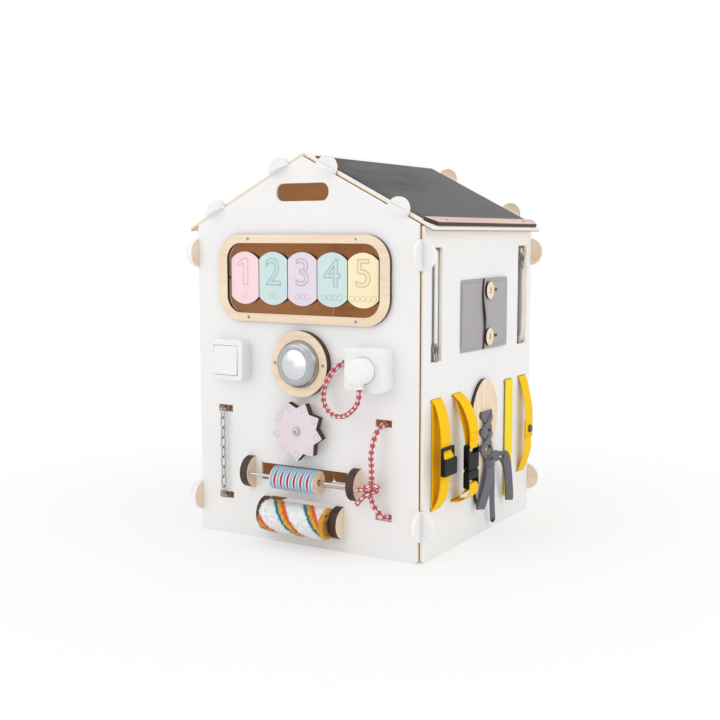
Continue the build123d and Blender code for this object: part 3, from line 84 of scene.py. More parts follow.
def tone(code):
    """A colour as it looks on a screen, made linear."""
    parts = [int(code[i:i + 2], 16) / 255 for i in (0, 2, 4)]
    return (*[p / 12.92 if p < 0.04 else ((p + 0.055) / 1.055) ** 2.4 for p in parts], 1.0)


# Node trees
def between(operation):
    """Arithmetic between a value and another value or a number."""
    return lambda self, other: self.maths(operation, self, other)


class Value:
    """A socket that takes part in Python arithmetic."""

    def __init__(self, net, socket):
        self.net = net
        self.socket = socket

    def __getitem__(self, key):
        return Value(self.net, self.net.pick(self.socket.node.outputs, key))

    def maths(self, operation, *values):
        return self.net.node("ShaderNodeMath", dict(enumerate(values)), operation=operation)

    def __rsub__(self, other):
        return self.maths("SUBTRACT", other, self)

    def __abs__(self):
        return self.maths("ABSOLUTE", self)

    def floor(self):
        return self.maths("FLOOR", self)

    def wave(self):
        """A sine that repeats at every whole number."""
        return self.maths("SINE", self * (2 * pi))

    __add__ = __radd__ = between("ADD")
    __sub__ = between("SUBTRACT")
    __mul__ = __rmul__ = between("MULTIPLY")
    __truediv__ = between("DIVIDE")
    __mod__ = between("FLOORED_MODULO")
    __lt__ = between("LESS_THAN")
    __gt__ = between("GREATER_THAN")
    most = between("MAXIMUM")


class Net:
    """A node tree that is built node by node."""

    def __init__(self, tree):
        self.tree = tree

    def node(self, kind, sockets=None, out=0, **settings):
        made = self.tree.nodes.new(kind)
        for name, value in settings.items():
            setattr(made, name, value)
        for key, value in (sockets or {}).items():
            socket = self.pick(made.inputs, key)
            if isinstance(value, Value):
                self.tree.links.new(value.socket, socket)
            else:
                socket.default_value = value
        return Value(self, self.pick(made.outputs, out))

    @staticmethod
    def pick(sockets, key):
        if isinstance(key, int):
            return sockets[key]
        return next((s for s in sockets if s.identifier == key), None) or sockets[key]


class Finish(Net):
    """A material of one principled shader. Numbers that are the same all over go on its own sockets."""

    def __init__(self, name, **same):
        self.material = bpy.data.materials.new(name)
        self.material.use_nodes = True
        super().__init__(self.material.node_tree)
        self.shader = self.tree.nodes["Principled BSDF"]
        for socket, value in same.items():
            self.shader.inputs[socket.replace("_", " ")].default_value = value

    def coat(self, mesh):
        mesh.materials.clear()
        mesh.materials.append(self.material)

    def place(self, out="Object"):
        return self.node("ShaderNodeTexCoord", out=out)

    def parts(self, vector):
        x = self.node("ShaderNodeSeparateXYZ", {"Vector": vector})
        return x, x["Y"], x["Z"]

    def axes(self):
        """The point's own X, Y and Z."""
        return dict(zip("XYZ", self.parts(self.place())))

    def run(self):
        """How far along a band or cord the point lies, and how far across or round it."""
        return self.parts(self.node("ShaderNodeUVMap", uv_map="run"))[:2]

    def noise(self, scale, detail=3.0, stretch=(1, 1, 1)):
        spread = self.node("ShaderNodeMapping", {"Vector": self.place(), "Scale": stretch})
        return self.node("ShaderNodeTexNoise", {"Vector": spread, "Scale": scale, "Detail": detail})

    def dot(self, vector, axis):
        return self.node("ShaderNodeVectorMath", {0: vector, 1: axis}, "Value", operation="DOT_PRODUCT")

    def facing(self, axis):
        return self.dot(self.place("Normal"), axis)

    def mix(self, share, a, b):
        """Two colours mixed, each a value or a screen code."""
        a, b = [tone(colour) if isinstance(colour, str) else colour for colour in (a, b)]
        sockets = {"Factor_Float": share, "A_Color": a, "B_Color": b}
        return self.node("ShaderNodeMix", sockets, "Result_Color", data_type="RGBA")

    def ramp(self, value, *stops):
        """Screen codes at their places along a value."""
        made = self.node("ShaderNodeValToRGB", {"Fac": value})
        marks = made.socket.node.color_ramp.elements
        while len(marks) < len(stops):
            marks.new(1.0)
        for mark, (position, code) in zip(marks, stops):
            mark.position = position
            mark.color = tone(code)
        return made

    def done(self, colour, roughness=None, height=None, depth=0.2, strength=1.0, metallic=None):
        links = {"Base Color": colour, "Roughness": roughness, "Metallic": metallic}
        if height is not None:
            bump = {"Height": height, "Strength": strength, "Distance": depth * MM}
            links["Normal"] = self.node("ShaderNodeBump", bump)
        for socket, value in links.items():
            if value is not None:
                self.tree.links.new(value.socket, self.shader.inputs[socket])
        return self


# Finishes
BIRCH = ("e6cbab", "f2ddc2", "f8e9d5")
# Pinker birch for the chalk ledge, darkened as painted shade of its up-facing top.
LEDGE_BIRCH_SHADED = ("c9ac9b", "d8bfb0", "e3cfc3")
PALE_CUT = ("f9f6f2", "f5ede2", "ecdbc5")
TAN_CUT = ("f3e4d2", "ecd6bd", "e0c4a4")
# Dark brown at the inner face of a pale cut edge; it draws the dark line where two panels meet in a corner.
INNER_EDGE_DARK = ("7a5640", "4a3227")
WHITE_EDGE = "f6f4f1"
WALL_WHITE = ("ecebea", "f4f3f2")
PAINTS = {
    "pink": ("f7d2da", "fcdfe5"),
    "mint": ("c5dddb", "d6e8e6"),
    "lilac": ("e1d4e0", "ece2ea"),
    "yellow": ("f9e8b8", "fcf0cc"),
    "rose_grey": ("dfd0d8", "eadee5"),
}
GROOVES = {"pink": "e8bfc9", "mint": "afcdcb", "lilac": "cfbfcf", "yellow": "e0d0a4"}
PLATES = ("pink", "mint", "lilac", "mint", "yellow")


def wood_grain(finish, along):
    """Birch veneer: pores and soft bands that run along one axis."""
    pores = finish.noise(1.0, 5.0, tuple(7 if axis == along else 120 for axis in "XYZ"))
    bands = finish.noise(1.0, 2.0, tuple(2 if axis == along else 22 for axis in "XYZ"))
    return pores, pores * 0.55 + bands * 0.45


def ply_finish(name, axis, along, outer=None, face=None, ears=None, bare=BIRCH, cut=PALE_CUT):
    """Plywood whose sheet is square to axis, its outer face bare or painted. Its cut edge is burnt dark, or,
    where face says how far out along axis the outer face lies, pale with a dark line at the inner veneer.
    Ears have white edges, and on the roof they are white all over."""
    made = Finish(name)
    pores, grain = wood_grain(made, along)
    veneer = made.ramp(grain, *zip((0.3, 0.5, 0.72), bare))
    facing = made.facing(axis)
    depth = made.dot(made.place(), axis)
    scorch = made.noise(90.0, 4.0)
    if face is None:
        layer = (depth / (VENEER * MM)).floor() % 2.0
        edge = made.mix(layer * 0.6, made.mix(scorch, "2a1a15", "543629"), "3d281f")
    else:
        sunk = (face * MM - depth) / (PLY * MM) + scorch * 0.08
        edge = made.ramp(sunk, *zip((0.0, 0.5, 0.84, 0.9, 1.0), (*cut, *INNER_EDGE_DARK)))
    if ears:
        letter, middle, reach = ears
        on_ear = abs(made.axes()[letter] - middle * MM) > reach * MM
        edge = made.mix(on_ear, edge, WHITE_EDGE)
    on_face = abs(facing) > 0.6
    colour = made.mix(on_face, edge, veneer)
    roughness = 0.62 - pores * 0.12
    height = pores * on_face
    if outer:
        painted = facing > 0.6
        if ears == ROOF_EARS:
            painted = painted.most(on_ear)
        colour = made.mix(painted, colour, made.mix(made.noise(14.0, 4.0), *outer))
        roller = made.noise(420.0, 2.0)
        roughness = roughness + painted * (0.36 + roller * 0.08 - roughness)
        height = height * (1 - painted) + painted * roller * 0.5
    return made.done(colour, roughness, height, 0.12, 0.35)


def plastic_finish(name, light, dark, rough, **same):
    made = Finish(name, **same)
    cloud = made.noise(60.0)
    pebble = made.noise(1400.0, 2.0)
    return made.done(made.mix(cloud, dark, light), rough + cloud * 0.08, pebble, 0.03, 0.3)


def metal_finish(name, light, dark, rough, stretch=(1, 1, 1), worn=1.0):
    made = Finish(name, Metallic=1.0)
    brushed = made.noise(260.0, 4.0, stretch)
    colour = made.mix(brushed, dark, light)
    return made.done(colour, rough + brushed * (0.16 * worn), brushed, 0.03, 0.25 * worn)


def woven_finish(name, light, dark, pitch):
    """Webbing or flat lace: a herringbone that follows the band's own length and width."""
    made = Finish(name, Sheen_Weight=0.05, Sheen_Roughness=0.5, Specular_IOR_Level=0.12)
    along, across = made.run()
    fold = abs((across / (pitch * 4)) % 2.0 - 1.0) * 2.0
    twill = (along / pitch + fold).wave() * 0.5 + 0.5
    rib = (across / pitch).wave() * 0.5 + 0.5
    fray = made.noise(900.0)
    weave = twill * 0.6 + rib * 0.2 + fray * 0.2
    return made.done(made.mix(weave, dark, light), 0.72 + fray * 0.15, weave, 0.25, 0.6)


def cloth_finish(name, light, dark, pitch):
    """Plain weave of a cloth that lies on the right wall."""
    made = Finish(name, Sheen_Weight=0.3, Sheen_Roughness=0.5)
    spot = made.axes()
    first, second = [(spot[axis] / pitch).wave() for axis in "YZ"]
    fluff = made.noise(30.0, 5.0)
    fibre = made.noise(700.0)
    weave = first * second * 0.25 + 0.5
    shade = weave * 0.35 + fluff * 0.35 + fibre * 0.3
    return made.done(made.mix(shade, dark, light), 0.82 + fibre * 0.1, weave + fibre * 0.5, 0.2, 0.5)


def rope_finish(name):
    """A round braid of red and white strands, with painted shade in the creases between them."""
    made = Finish(name, Sheen_Weight=0.2, Sheen_Roughness=0.5)
    along, turn = made.run()
    one = turn * ROPE_STRANDS + along / (ROPE_LAY * MM)
    two = turn * ROPE_STRANDS - along / (ROPE_LAY * MM)
    red = (one.floor() + two.floor()) % 2.0
    border = abs(one % 1.0 - 0.5).most(abs(two % 1.0 - 0.5)) * 2.0
    bright = (1 - red) * (border < 0.8)
    yarn = ((one * 3.0).wave() * red + (two * 3.0).wave() * (1 - red)) * 0.5 + 0.5
    fuzz = made.noise(900.0)
    pale = made.mix(fuzz, "ecd5d4", "fbefed")
    strong = made.mix(fuzz, "a92f3c", "cc5560")
    # Darker red along the borders of the strands: painted shade in the creases of the braid.
    strong = made.mix((border > 0.86) * 0.45, strong, "7d1f2b")
    colour = made.mix(yarn * 0.2, made.mix(bright, strong, pale), "c07478")
    return made.done(colour, 0.75 + fuzz * 0.15, yarn * 0.6 + fuzz * 0.4, 0.2, 0.5)


def turned(finish, z):
    """Length and turn of a point round a roller's axis."""
    x, y, up = finish.parts(finish.place())
    axis = front(0, ROLLER_OFF, z)
    turn = finish.node("ShaderNodeMath", {0: up - axis.z, 1: axis.y - y}, operation="ARCTAN2")
    return (x - axis.x) / MM, turn / (2 * pi)


def fleece_finish(name):
    """Long pile with rainbow bands wound round it, amber at the right end."""
    made = Finish(name, Sheen_Weight=0.3, Sheen_Roughness=0.4, Subsurface_Weight=0.25, Subsurface_Scale=0.004)
    along, turn = turned(made, FLEECE_Z)
    ragged = made.noise(170.0) * 0.16
    wound = (along / FLEECE_LAY + turn * 2.0 + ragged + FLEECE_START) % 1.0
    colour = made.ramp(
        wound, (0.0, "fffefc"), (0.04, "4fa3b8"), (0.08, "1f6f8a"), (0.12, "3b8f9a"), (0.15, "f5cf3a"),
        (0.23, "f7b822"), (0.28, "f08226"), (0.35, "ea4f2c"), (0.39, "f4a08c"), (0.43, "fffefc"))
    amber = made.mix(made.noise(140.0), "ee8a1c", "f9c63a")
    colour = made.mix(along + ragged * 24.0 > 55.5, colour, amber)
    fibre = made.noise(1200.0)
    return made.done(made.mix(fibre * 0.06, colour, "ddd8d0"), 0.9 - fibre * 0.1, fibre, 0.3, 0.5)


def sleeve_finish(name):
    """A printed cotton sleeve on a wooden roller: slanted red leaves edged in pink and white on blue."""
    made = Finish(name, Sheen_Weight=0.2, Sheen_Roughness=0.5)
    along, turn = turned(made, ROLLER_Z)
    row = along / 12.0 - turn
    across = abs(row % 1.0 - 0.5) * 2.0
    tip = ((turn - 0.02) * 2.0 + 0.5) % 1.0 - 0.5
    slim = 1 - tip * tip / 0.17
    leaf = across / slim.most(0.02)
    blue = made.mix(made.noise(500.0), "6fb4d2", "93cbe2")
    blue = made.mix((across > 0.93) * 0.5, blue, "8795b5")
    edged = made.ramp(
        leaf, (0.0, "8f2430"), (0.27, "a8323e"), (0.33, "d88f9a"), (0.4, "f6e9ec"), (0.56, "f6eef0"),
        (0.62, "d8a3b0"), (0.7, "86c0db"))
    cloth = made.mix(leaf < 0.68, blue, edged)
    _, grain = wood_grain(made, "X")
    wood = made.ramp(grain, (0.3, "e2bf98"), (0.7, "f4dcbd"))
    ends = abs(made.facing((1, 0, 0))) > 0.6
    thread = (along / 0.7).wave() * 0.5 + 0.5
    return made.done(made.mix(ends, cloth, wood), 0.75 - ends * 0.1, thread * (1 - ends), 0.12, 0.5)


def chalk_finish(name):
    """A wiped writing sheet, paler towards the back and the eave."""
    made = Finish(name, Specular_IOR_Level=0.15)
    wiped = made.noise(1.0, 5.0, (30, 5, 30))
    dust = made.noise(8.0, 5.0)
    grit = made.noise(900.0, 2.0)
    x, y, _ = made.parts(made.place())
    shade = wiped * 0.5 + dust * 0.3 + (x + y) * 0.8 + 0.06
    colour = made.ramp(shade, (0.3, "4f4f4f"), (0.5, "676767"), (0.85, "727273"))
    return made.done(colour, 0.78 + grit * 0.12, grit, 0.08, 0.4)


def plug_finish(name):
    """White moulding with bright pins at its back."""
    made = Finish(name)
    _, y, _ = made.parts(made.place())
    pins = y > front(0, PIN_OFF, 0).y
    cloud = made.noise(60.0)
    colour = made.mix(pins, made.mix(cloud, "eeeeed", "f5f5f4"), "c9c9c6")
    return made.done(colour, 0.24 + cloud * 0.06, cloud, 0.03, 0.2, pins)


def roof_face(side):
    """How far out along its own slope a roof panel's outer face lies."""
    return side * HOUSE_X * sin(PITCH) + RIDGE_Z * cos(PITCH) + PLY


left_slope, right_slope = [(side * sin(PITCH), 0, cos(PITCH)) for side in (-1, 1)]
steel = metal_finish("steel", "d8d9da", "a9abad", 0.22)
rod_steel = metal_finish("rod_steel", "d3d3d1", "b0b0ae", 0.2, (0.2, 3, 3))
nickel = metal_finish("zip_nickel", "b9b8b4", "85847f", 0.28)
gunmetal = metal_finish("dark_eyelet_metal", "76777a", "48494c", 0.32)
white_plastic = plastic_finish("white_moulding", "f2f2f1", "ebebea", 0.22)
black_plastic = plastic_finish("black_moulding", "131315", "0b0b0d", 0.4, Specular_IOR_Level=0.16)
finishes = {
    "front_wall": ply_finish("front_ply", (0, -1, 0), "X", WALL_WHITE, -FRONT_OUT, GABLE_EARS),
    "back_wall": ply_finish("back_ply", (0, 1, 0), "X", WALL_WHITE, BACK_OUT, GABLE_EARS),
    "left_wall": ply_finish("left_ply", (-1, 0, 0), "Y", WALL_WHITE, -LEFT_OUT, SIDE_EARS),
    "right_wall": ply_finish("right_ply", (1, 0, 0), "Y", WALL_WHITE, RIGHT_OUT, SIDE_EARS),
    "roof_left": ply_finish("roof_left_ply", left_slope, "Y", WALL_WHITE, roof_face(-1), ROOF_EARS,
                            cut=TAN_CUT),
    "roof_right": ply_finish("roof_right_ply", right_slope, "Y", WALL_WHITE, roof_face(1), ROOF_EARS),
    "chalkboard": chalk_finish("chalkboard_grey"),
    "chalk_ledge": ply_finish("ledge_ply", right_slope, "Y", bare=LEDGE_BIRCH_SHADED),
    "window_frame": ply_finish("frame_ply", (0, -1, 0), "X"),
    "lamp_housing": metal_finish("satin_silver", "bfc0c2", "a6a7a9", 0.24, worn=0.15),
    "lamp_lens": metal_finish("silver_lens", "dedfe2", "d8d9dc", 0.22, worn=0.1),
    "lamp_board": plastic_finish("board_green", "2f6b45", "24533a", 0.4),
    "socket_base": plastic_finish("contact_grey", "b7b7b4", "a5a5a2", 0.5),
    "plug_body": plug_finish("plug_white"),
    "chain_links": metal_finish("chain_steel", "d0d1d2", "8f9194", 0.2),
    "roller_bush": metal_finish("bush_brass", "cfae6c", "a98645", 0.3),
    "slide_roller": sleeve_finish("printed_sleeve"),
    "fleece_core": plastic_finish("core_card", "c9b08a", "b79c74", 0.75),
    "star_gear": ply_finish("gear_ply", (0, -1, 0), "X", PAINTS["rose_grey"]),
    "lamp_ring": ply_finish("lamp_ring_ply", (0, -1, 0), "X"),
    "roller_brackets": ply_finish("bracket_ply", (1, 0, 0), "Z"),
    "flap_buttons": ply_finish("button_ply", (1, 0, 0), "Z"),
    "shoe_sole": ply_finish("sole_ply", (1, 0, 0), "Z"),
}
plate_finish = {paint: ply_finish(f"{paint}_plate", (0, -1, 0), "X", PAINTS[paint]) for paint in GROOVES}
for number, paint in enumerate(PLATES, 1):
    finishes[f"number_plate_{number}"] = plate_finish[paint]
for finish, names in (
        (steel, ("wood_screws", "gear_bolt")),
        (rod_steel, ("number_rod", "slide_rod", "fleece_axle")),
        (nickel, ("zip_slider_front", "zip_slider_back", "zip_pull_front", "zip_pull_back")),
        (gunmetal, ("snap_button", "shoe_eyelets")),
        (white_plastic, ("switch_base", "switch_cover", "switch_rocker", "socket_cover")),
        (black_plastic, ("ladder_buckle", "clip_buckle_socket", "clip_buckle_plug"))):
    finishes.update(dict.fromkeys(names, finish))
for name, finish in finishes.items():
    finish.coat(node[name].data)

yellow_webbing = woven_finish("yellow_webbing", "ffd90c", "fcba00", 0.0014)
lemon_tape = woven_finish("lemon_hook_tape", "ffe83a", "f8d81c", 0.0011)
grey_lace = woven_finish("grey_lace", "8d8c95", "5e5d65", 0.0012)
braid = rope_finish("red_white_braid")
grey_cloth = cloth_finish("grey_flap_cloth", "b6b2b4", "949093", 0.0009)
zip_green = cloth_finish("grey_green_tape", "f8faf7", "e9ede7", 0.0008)
zip_beige = cloth_finish("beige_tape", "efe7df", "d8cdc2", 0.0008)
fleece = fleece_finish("rainbow_fleece")
grey_thread = plastic_finish("grey_thread", "8a8789", "6e6b6d", 0.8)
yellow_thread = plastic_finish("yellow_thread", "d99c10", "c48a08", 0.8)
# Near black for pieces that paint shade: screw recesses, button holes, buttonhole slits and the gap along the
# right flap's edge.
painted_shade = plastic_finish("painted_shade", "3a3835", "2b2927", 0.7)
brown_thread = plastic_finish("brown_thread", "a9744e", "8f5f3c", 0.8)


# Making meshes
def link(name, data):
    made = bpy.data.objects.new(name, data)
    bpy.context.scene.collection.objects.link(made)
    return made


def plain(holder):
    """The object's evaluated shape as a mesh of its own; the holder goes."""
    graph = bpy.context.evaluated_depsgraph_get()
    mesh = bpy.data.meshes.new_from_object(holder.evaluated_get(graph))
    bpy.data.objects.remove(holder)
    return mesh


def settled(shape):
    """The shape that bmesh holds, as a mesh."""
    made = bpy.data.meshes.new("shape")
    shape.to_mesh(made)
    shape.free()
    return made


def joined(parts):
    whole = bmesh.new()
    for part in parts:
        whole.from_mesh(part)
    return settled(whole)


def piece(name, mesh, finish, body, *replaced, smooth=True):
    made = link(name, mesh)
    mesh.name = name
    if finish:
        finish.coat(mesh)
    mesh.polygons.foreach_set("use_smooth", [smooth] * len(mesh.polygons))
    if body:
        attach(made, body)
    if replaced:
        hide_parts(*replaced)
    return made


def smooth_line(points, steps=24):
    """The NURBS line that a row of points pulls into shape."""
    curve = bpy.data.curves.new("line", "CURVE")
    curve.dimensions = "3D"
    curve.resolution_u = steps
    spline = curve.splines.new("NURBS")
    spline.points.add(len(points) - 1)
    for control, point in zip(spline.points, points):
        control.co = (*point, 1)
    spline.order_u = 3
    spline.use_endpoint_u = True
    mesh = plain(link("line", curve))
    return [vertex.co.copy() for vertex in mesh.vertices]


def headings(line):
    last = len(line) - 1
    return [(line[min(i + 1, last)] - line[max(i - 1, 0)]).normalized() for i in range(last + 1)]


def faces_across(line, across):
    """The ways a band looks that keeps the same line across it."""
    return [heading.cross(Vector(across)) for heading in headings(line)]


def skin(rings, marks, closed_round):
    """Faces between rows of points, with their marks as the UV map called run, and both ends closed."""
    mesh = bmesh.new()
    run = mesh.loops.layers.uv.new("run")
    rows = [[mesh.verts.new(point) for point in ring] for ring in rings]

    def add_face(corners, spots):
        for loop, spot in zip(mesh.faces.new(corners).loops, spots):
            loop[run].uv = spot

    count = len(rows[0])
    for i in range(len(rows) - 1):
        for k in range(count):
            n = (k + 1) % count
            end = marks[i][n][1] if n or not closed_round else 1.0
            add_face((rows[i][k], rows[i][n], rows[i + 1][n], rows[i + 1][k]),
                     (marks[i][k], (marks[i][n][0], end), (marks[i + 1][n][0], end), marks[i + 1][k]))
    add_face(rows[0][::-1], marks[0][::-1])
    add_face(rows[-1], marks[-1])
    bmesh.ops.recalc_face_normals(mesh, faces=mesh.faces)
    return settled(mesh)


def rope_mesh(line, radius, sides=24):
    """A braid: strands raised in diamonds round the line."""
    side = headings(line)[0].orthogonal()
    rings, marks, along = [], [], 0.0
    for i, (point, heading) in enumerate(zip(line, headings(line))):
        along += (point - line[i - 1]).length if i else 0.0
        side = (side - heading * side.dot(heading)).normalized()
        up = heading.cross(side)
        lay = along / (ROPE_LAY * MM)
        ring, mark = [], []
        for k in range(sides):
            turn = k / sides
            crown = abs(sin(pi * (ROPE_STRANDS * turn + lay)) * sin(pi * (ROPE_STRANDS * turn - lay)))
            reach = radius * MM * (0.84 + 0.16 * crown ** 0.5)
            ring.append(point + (side * cos(2 * pi * turn) + up * sin(2 * pi * turn)) * reach)
            mark.append((along, turn))
        rings.append(ring)
        marks.append(mark)
    return skin(rings, marks, True)


def band_mesh(line, out, width, thickness, columns=6, ease=None):
    """A flat band with thinned edges, its sizes in millimetres, whose face looks along out. Out and width may
    be one for the whole band or one for each point of the line, and ease shifts its points."""
    lanes = [-1, -0.95] + [2 * i / columns - 1 for i in range(1, columns)] + [0.95, 1]
    rings, marks, along = [], [], 0.0
    for i, (point, heading) in enumerate(zip(line, headings(line))):
        along += (point - line[i - 1]).length if i else 0.0
        face = out[i] if isinstance(out, list) else out
        across = heading.cross(face).normalized()
        normal = across.cross(heading)
        half = (width[i] if isinstance(width, list) else width) * MM / 2
        share = i / (len(line) - 1)
        ring, mark = [], []
        for sign, order in ((1, lanes), (-1, lanes[::-1])):
            for lane in order:
                edge = 0.45 if abs(lane) == 1 else 1.0
                spot = point + across * lane * half + normal * sign * edge * (thickness * MM) / 2
                ring.append(spot + ease(share, lane) if ease else spot)
                mark.append((along, lane * half))
        rings.append(ring)
        marks.append(mark)
    return skin(rings, marks, False)


# Geometry Nodes for what repeats
def grower(name, build, *labels):
    """A tree with labelled inputs; build makes the copies from them and gives the geometry to finish."""
    tree = bpy.data.node_groups.new(name, "GeometryNodeTree")
    kinds = {"Shape": "Geometry", "Seed": "Int", "Finish": "Material"}
    for label in ("Shape", *labels, "Finish"):
        kind = kinds.get(label, "Float")
        tree.interface.new_socket(label, in_out="INPUT", socket_type=f"NodeSocket{kind}")
    tree.interface.new_socket("Shape", in_out="OUTPUT", socket_type="NodeSocketGeometry")
    net = Net(tree)
    given = net.node("NodeGroupInput")
    whole = net.node("GeometryNodeRealizeInstances", {"Geometry": build(net, given)})
    coated = net.node("GeometryNodeSetMaterial", {"Geometry": whole, "Material": given["Finish"]})
    end = tree.nodes.new("NodeGroupOutput")
    tree.links.new(coated.socket, end.inputs[0])
    return tree


def grow(mesh, tree, finish, **inputs):
    """The mesh after a tree has worked on it, with the tree's inputs found by identifier."""
    holder = link("seed", mesh)
    modifier = holder.modifiers.new("grow", "NODES")
    modifier.node_group = tree
    inputs["Finish"] = finish.material
    for item in tree.interface.items_tree:
        if item.in_out == "INPUT" and item.name in inputs:
            modifier[item.identifier] = inputs[item.name]
    return plain(holder)


def point_mesh(points, turns=None):
    """Points, each with a turn; without turns they look off the front wall."""
    mesh = bpy.data.meshes.new("points")
    mesh.from_pydata([tuple(p) for p in points], [], [])
    turn = mesh.attributes.new("turn", "FLOAT_VECTOR", "POINT")
    for i, item in enumerate(turn.data):
        item.vector = turns[i] if turns else (pi / 2, 0, 0)
    return mesh


def path_mesh(*lines):
    mesh = bpy.data.meshes.new("paths")
    points, edges = [], []
    for line in lines:
        start = len(points)
        points += [tuple(p) for p in line]
        edges += [(start + i, start + i + 1) for i in range(len(line) - 1)]
    mesh.from_pydata(points, edges, [])
    return mesh


def copies(net, points, shape, way, **more):
    sockets = {"Points": points, "Instance": shape, "Rotation": way, **more}
    return net.node("GeometryNodeInstanceOnPoints", sockets)


def set_down(net, given, shape):
    """Copies of a shape on the given points, turned by their turn attribute."""
    turn = net.node("GeometryNodeInputNamedAttribute", {"Name": "turn"}, data_type="FLOAT_VECTOR")
    way = net.node("FunctionNodeEulerToRotation", {"Euler": turn})
    return copies(net, given["Shape"], shape, way)


def bar_size(net, given, thick):
    """The size of a bar: its length, and one thickness both ways across."""
    across = given[thick]
    return net.node("ShaderNodeCombineXYZ", {"X": given["Length"], "Y": across, "Z": across})


def cut_rings(net, given):
    circle, profile = [
        net.node("GeometryNodeCurvePrimitiveCircle", {"Resolution": sides, "Radius": given[label]})
        for sides, label in ((28, "Radius"), (6, "Line"))]
    ring = net.node("GeometryNodeCurveToMesh", {"Curve": circle, "Profile Curve": profile})
    flat = net.node("GeometryNodeTransform", {"Geometry": ring, "Scale": (1, 1, 0.35)})
    return set_down(net, given, flat)


def cross_cuts(net, given):
    bar = net.node("GeometryNodeMeshCube", {"Size": bar_size(net, given, "Line")})
    cross = net.tree.nodes.new("GeometryNodeJoinGeometry")
    for turn in (0, pi / 2):
        arm = net.node("GeometryNodeTransform", {"Geometry": bar, "Rotation": (0, 0, turn)})
        net.tree.links.new(arm.socket, cross.inputs[0])
    return set_down(net, given, Value(net, cross.outputs[0]))


def drilled(net, given):
    sizes = {"Radius": given["Radius"], "Depth": given["Depth"]}
    return set_down(net, given, net.node("GeometryNodeMeshCylinder", {"Vertices": 16, **sizes}))


def laid_along(net, given, shape):
    """Copies of a shape in steps along the given paths, lying along them."""
    curve = net.node("GeometryNodeMeshToCurve", {"Mesh": given["Shape"]})
    steps = net.node("GeometryNodeResampleCurve", {"Curve": curve, "Length": given["Step"]}, mode="LENGTH")
    heading = net.node("GeometryNodeInputTangent")
    way = net.node("FunctionNodeAlignRotationToVector", {"Vector": heading}, axis="X")
    return copies(net, steps, shape, way)


def sewn(net, given):
    bead = net.node("GeometryNodeMeshIcoSphere", {"Radius": 0.5, "Subdivisions": 2})
    stitch = net.node("GeometryNodeTransform", {"Geometry": bead, "Scale": bar_size(net, given, "Thick")})
    return laid_along(net, given, stitch)


def toothed(net, given):
    tooth = net.node("GeometryNodeMeshCube", {"Size": bar_size(net, given, "Thick")})
    return laid_along(net, given, tooth)


def piled(net, given):
    """Tufts that stand on the given faces, each leaning its own way."""
    seed = given["Seed"]
    ground = {"Mesh": given["Shape"], "Density": given["Density"], "Seed": seed}
    spots = net.node("GeometryNodeDistributePointsOnFaces", ground, distribute_method="RANDOM")
    sizes = {"Radius Top": 0.0002, "Radius Bottom": given["Thick"], "Depth": given["Length"]}
    tuft = net.node("GeometryNodeMeshCone", {"Vertices": 5, "Side Segments": 2, **sizes})
    limits = {0: (-0.7, -0.7, -3.0), 1: (0.7, 0.7, 3.0), "Seed": seed}
    lean = net.node("FunctionNodeRandomValue", limits, data_type="FLOAT_VECTOR")
    twist = net.node("FunctionNodeEulerToRotation", {"Euler": lean})
    turns = {"Rotation": spots["Rotation"], "Rotate By": twist}
    way = net.node("FunctionNodeRotateRotation", turns, rotation_space="LOCAL")
    size = net.node("FunctionNodeRandomValue", {2: 0.65, 3: 1.0, "Seed": seed}, 1, data_type="FLOAT")
    return copies(net, spots, tuft, way, Scale=size)


ring_cuts = grower("engraved_rings", cut_rings, "Radius", "Line")
holes = grower("drilled_holes", drilled, "Radius", "Depth")
screw_cross = grower("screw_cross", cross_cuts, "Length", "Line")
stitching = grower("stitching", sewn, "Step", "Length", "Thick")
zip_teeth = grower("zip_teeth", toothed, "Step", "Length", "Thick")
pile = grower("pile", piled, "Density", "Thick", "Length", "Seed")


def grown(name, seed, tree, finish, body, *replaced, smooth=True, **sizes):
    """What a tree makes of a seed mesh, as one piece; sizes are in millimetres."""
    sizes = {label: size * MM for label, size in sizes.items()}
    piece(name, grow(seed, tree, finish, **sizes), None, body, *replaced, smooth=smooth)


# Cords: the tether of the plug, and the knotted rope between its two slots
ROPE_RADIUS, KNOT_RADIUS = 4, 3.9


def front_route(*places):
    return [front(*place) for place in places]


tether_route = front_route(
    (73, -6, 292), (73, 5, 292), (64, 15, 282), (51, 19, 260), (50, 23, 234), (68, 28, 216), (95, 33, 216),
    (117, 38, 232), (126, 42, 247), (126, 42, 261))
upper_route = front_route(
    (143, -14, 205.8), (143, 3, 204.8), (142, 16, 198.8), (139, 24, 182.8), (135, 25, 158.8), (134, 20, 141.5),
    (134, 20, 123.5))
lower_route = front_route(
    (134, 20, 96.5), (134, 20, 88.5), (145, 17, 74.2), (151, 7, 64.2), (152, -10, 64.0))
knot_routes = (
    front_route((134, 20, 124), (134, 20.5, 119), (128, 26, 115), (124, 24, 106), (129, 14, 102),
                (140, 13, 106), (145, 20, 114), (141, 28, 119), (132, 29, 116), (126, 25, 108),
                (128, 20, 100), (134, 20, 96)),
    front_route((140, 21, 114), (132, 27, 111), (124, 27, 109), (117, 25, 109), (111, 24, 106)),
    front_route((138, 20, 106), (130, 25, 103), (123, 26, 98), (117, 25, 92), (111, 24, 85)))

tether_line = smooth_line(tether_route)
tether = piece("tether_rope", rope_mesh(tether_line, ROPE_RADIUS), braid, None, "plug_cord")
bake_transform(tether)
tether_route[0]
node["plug_body"]

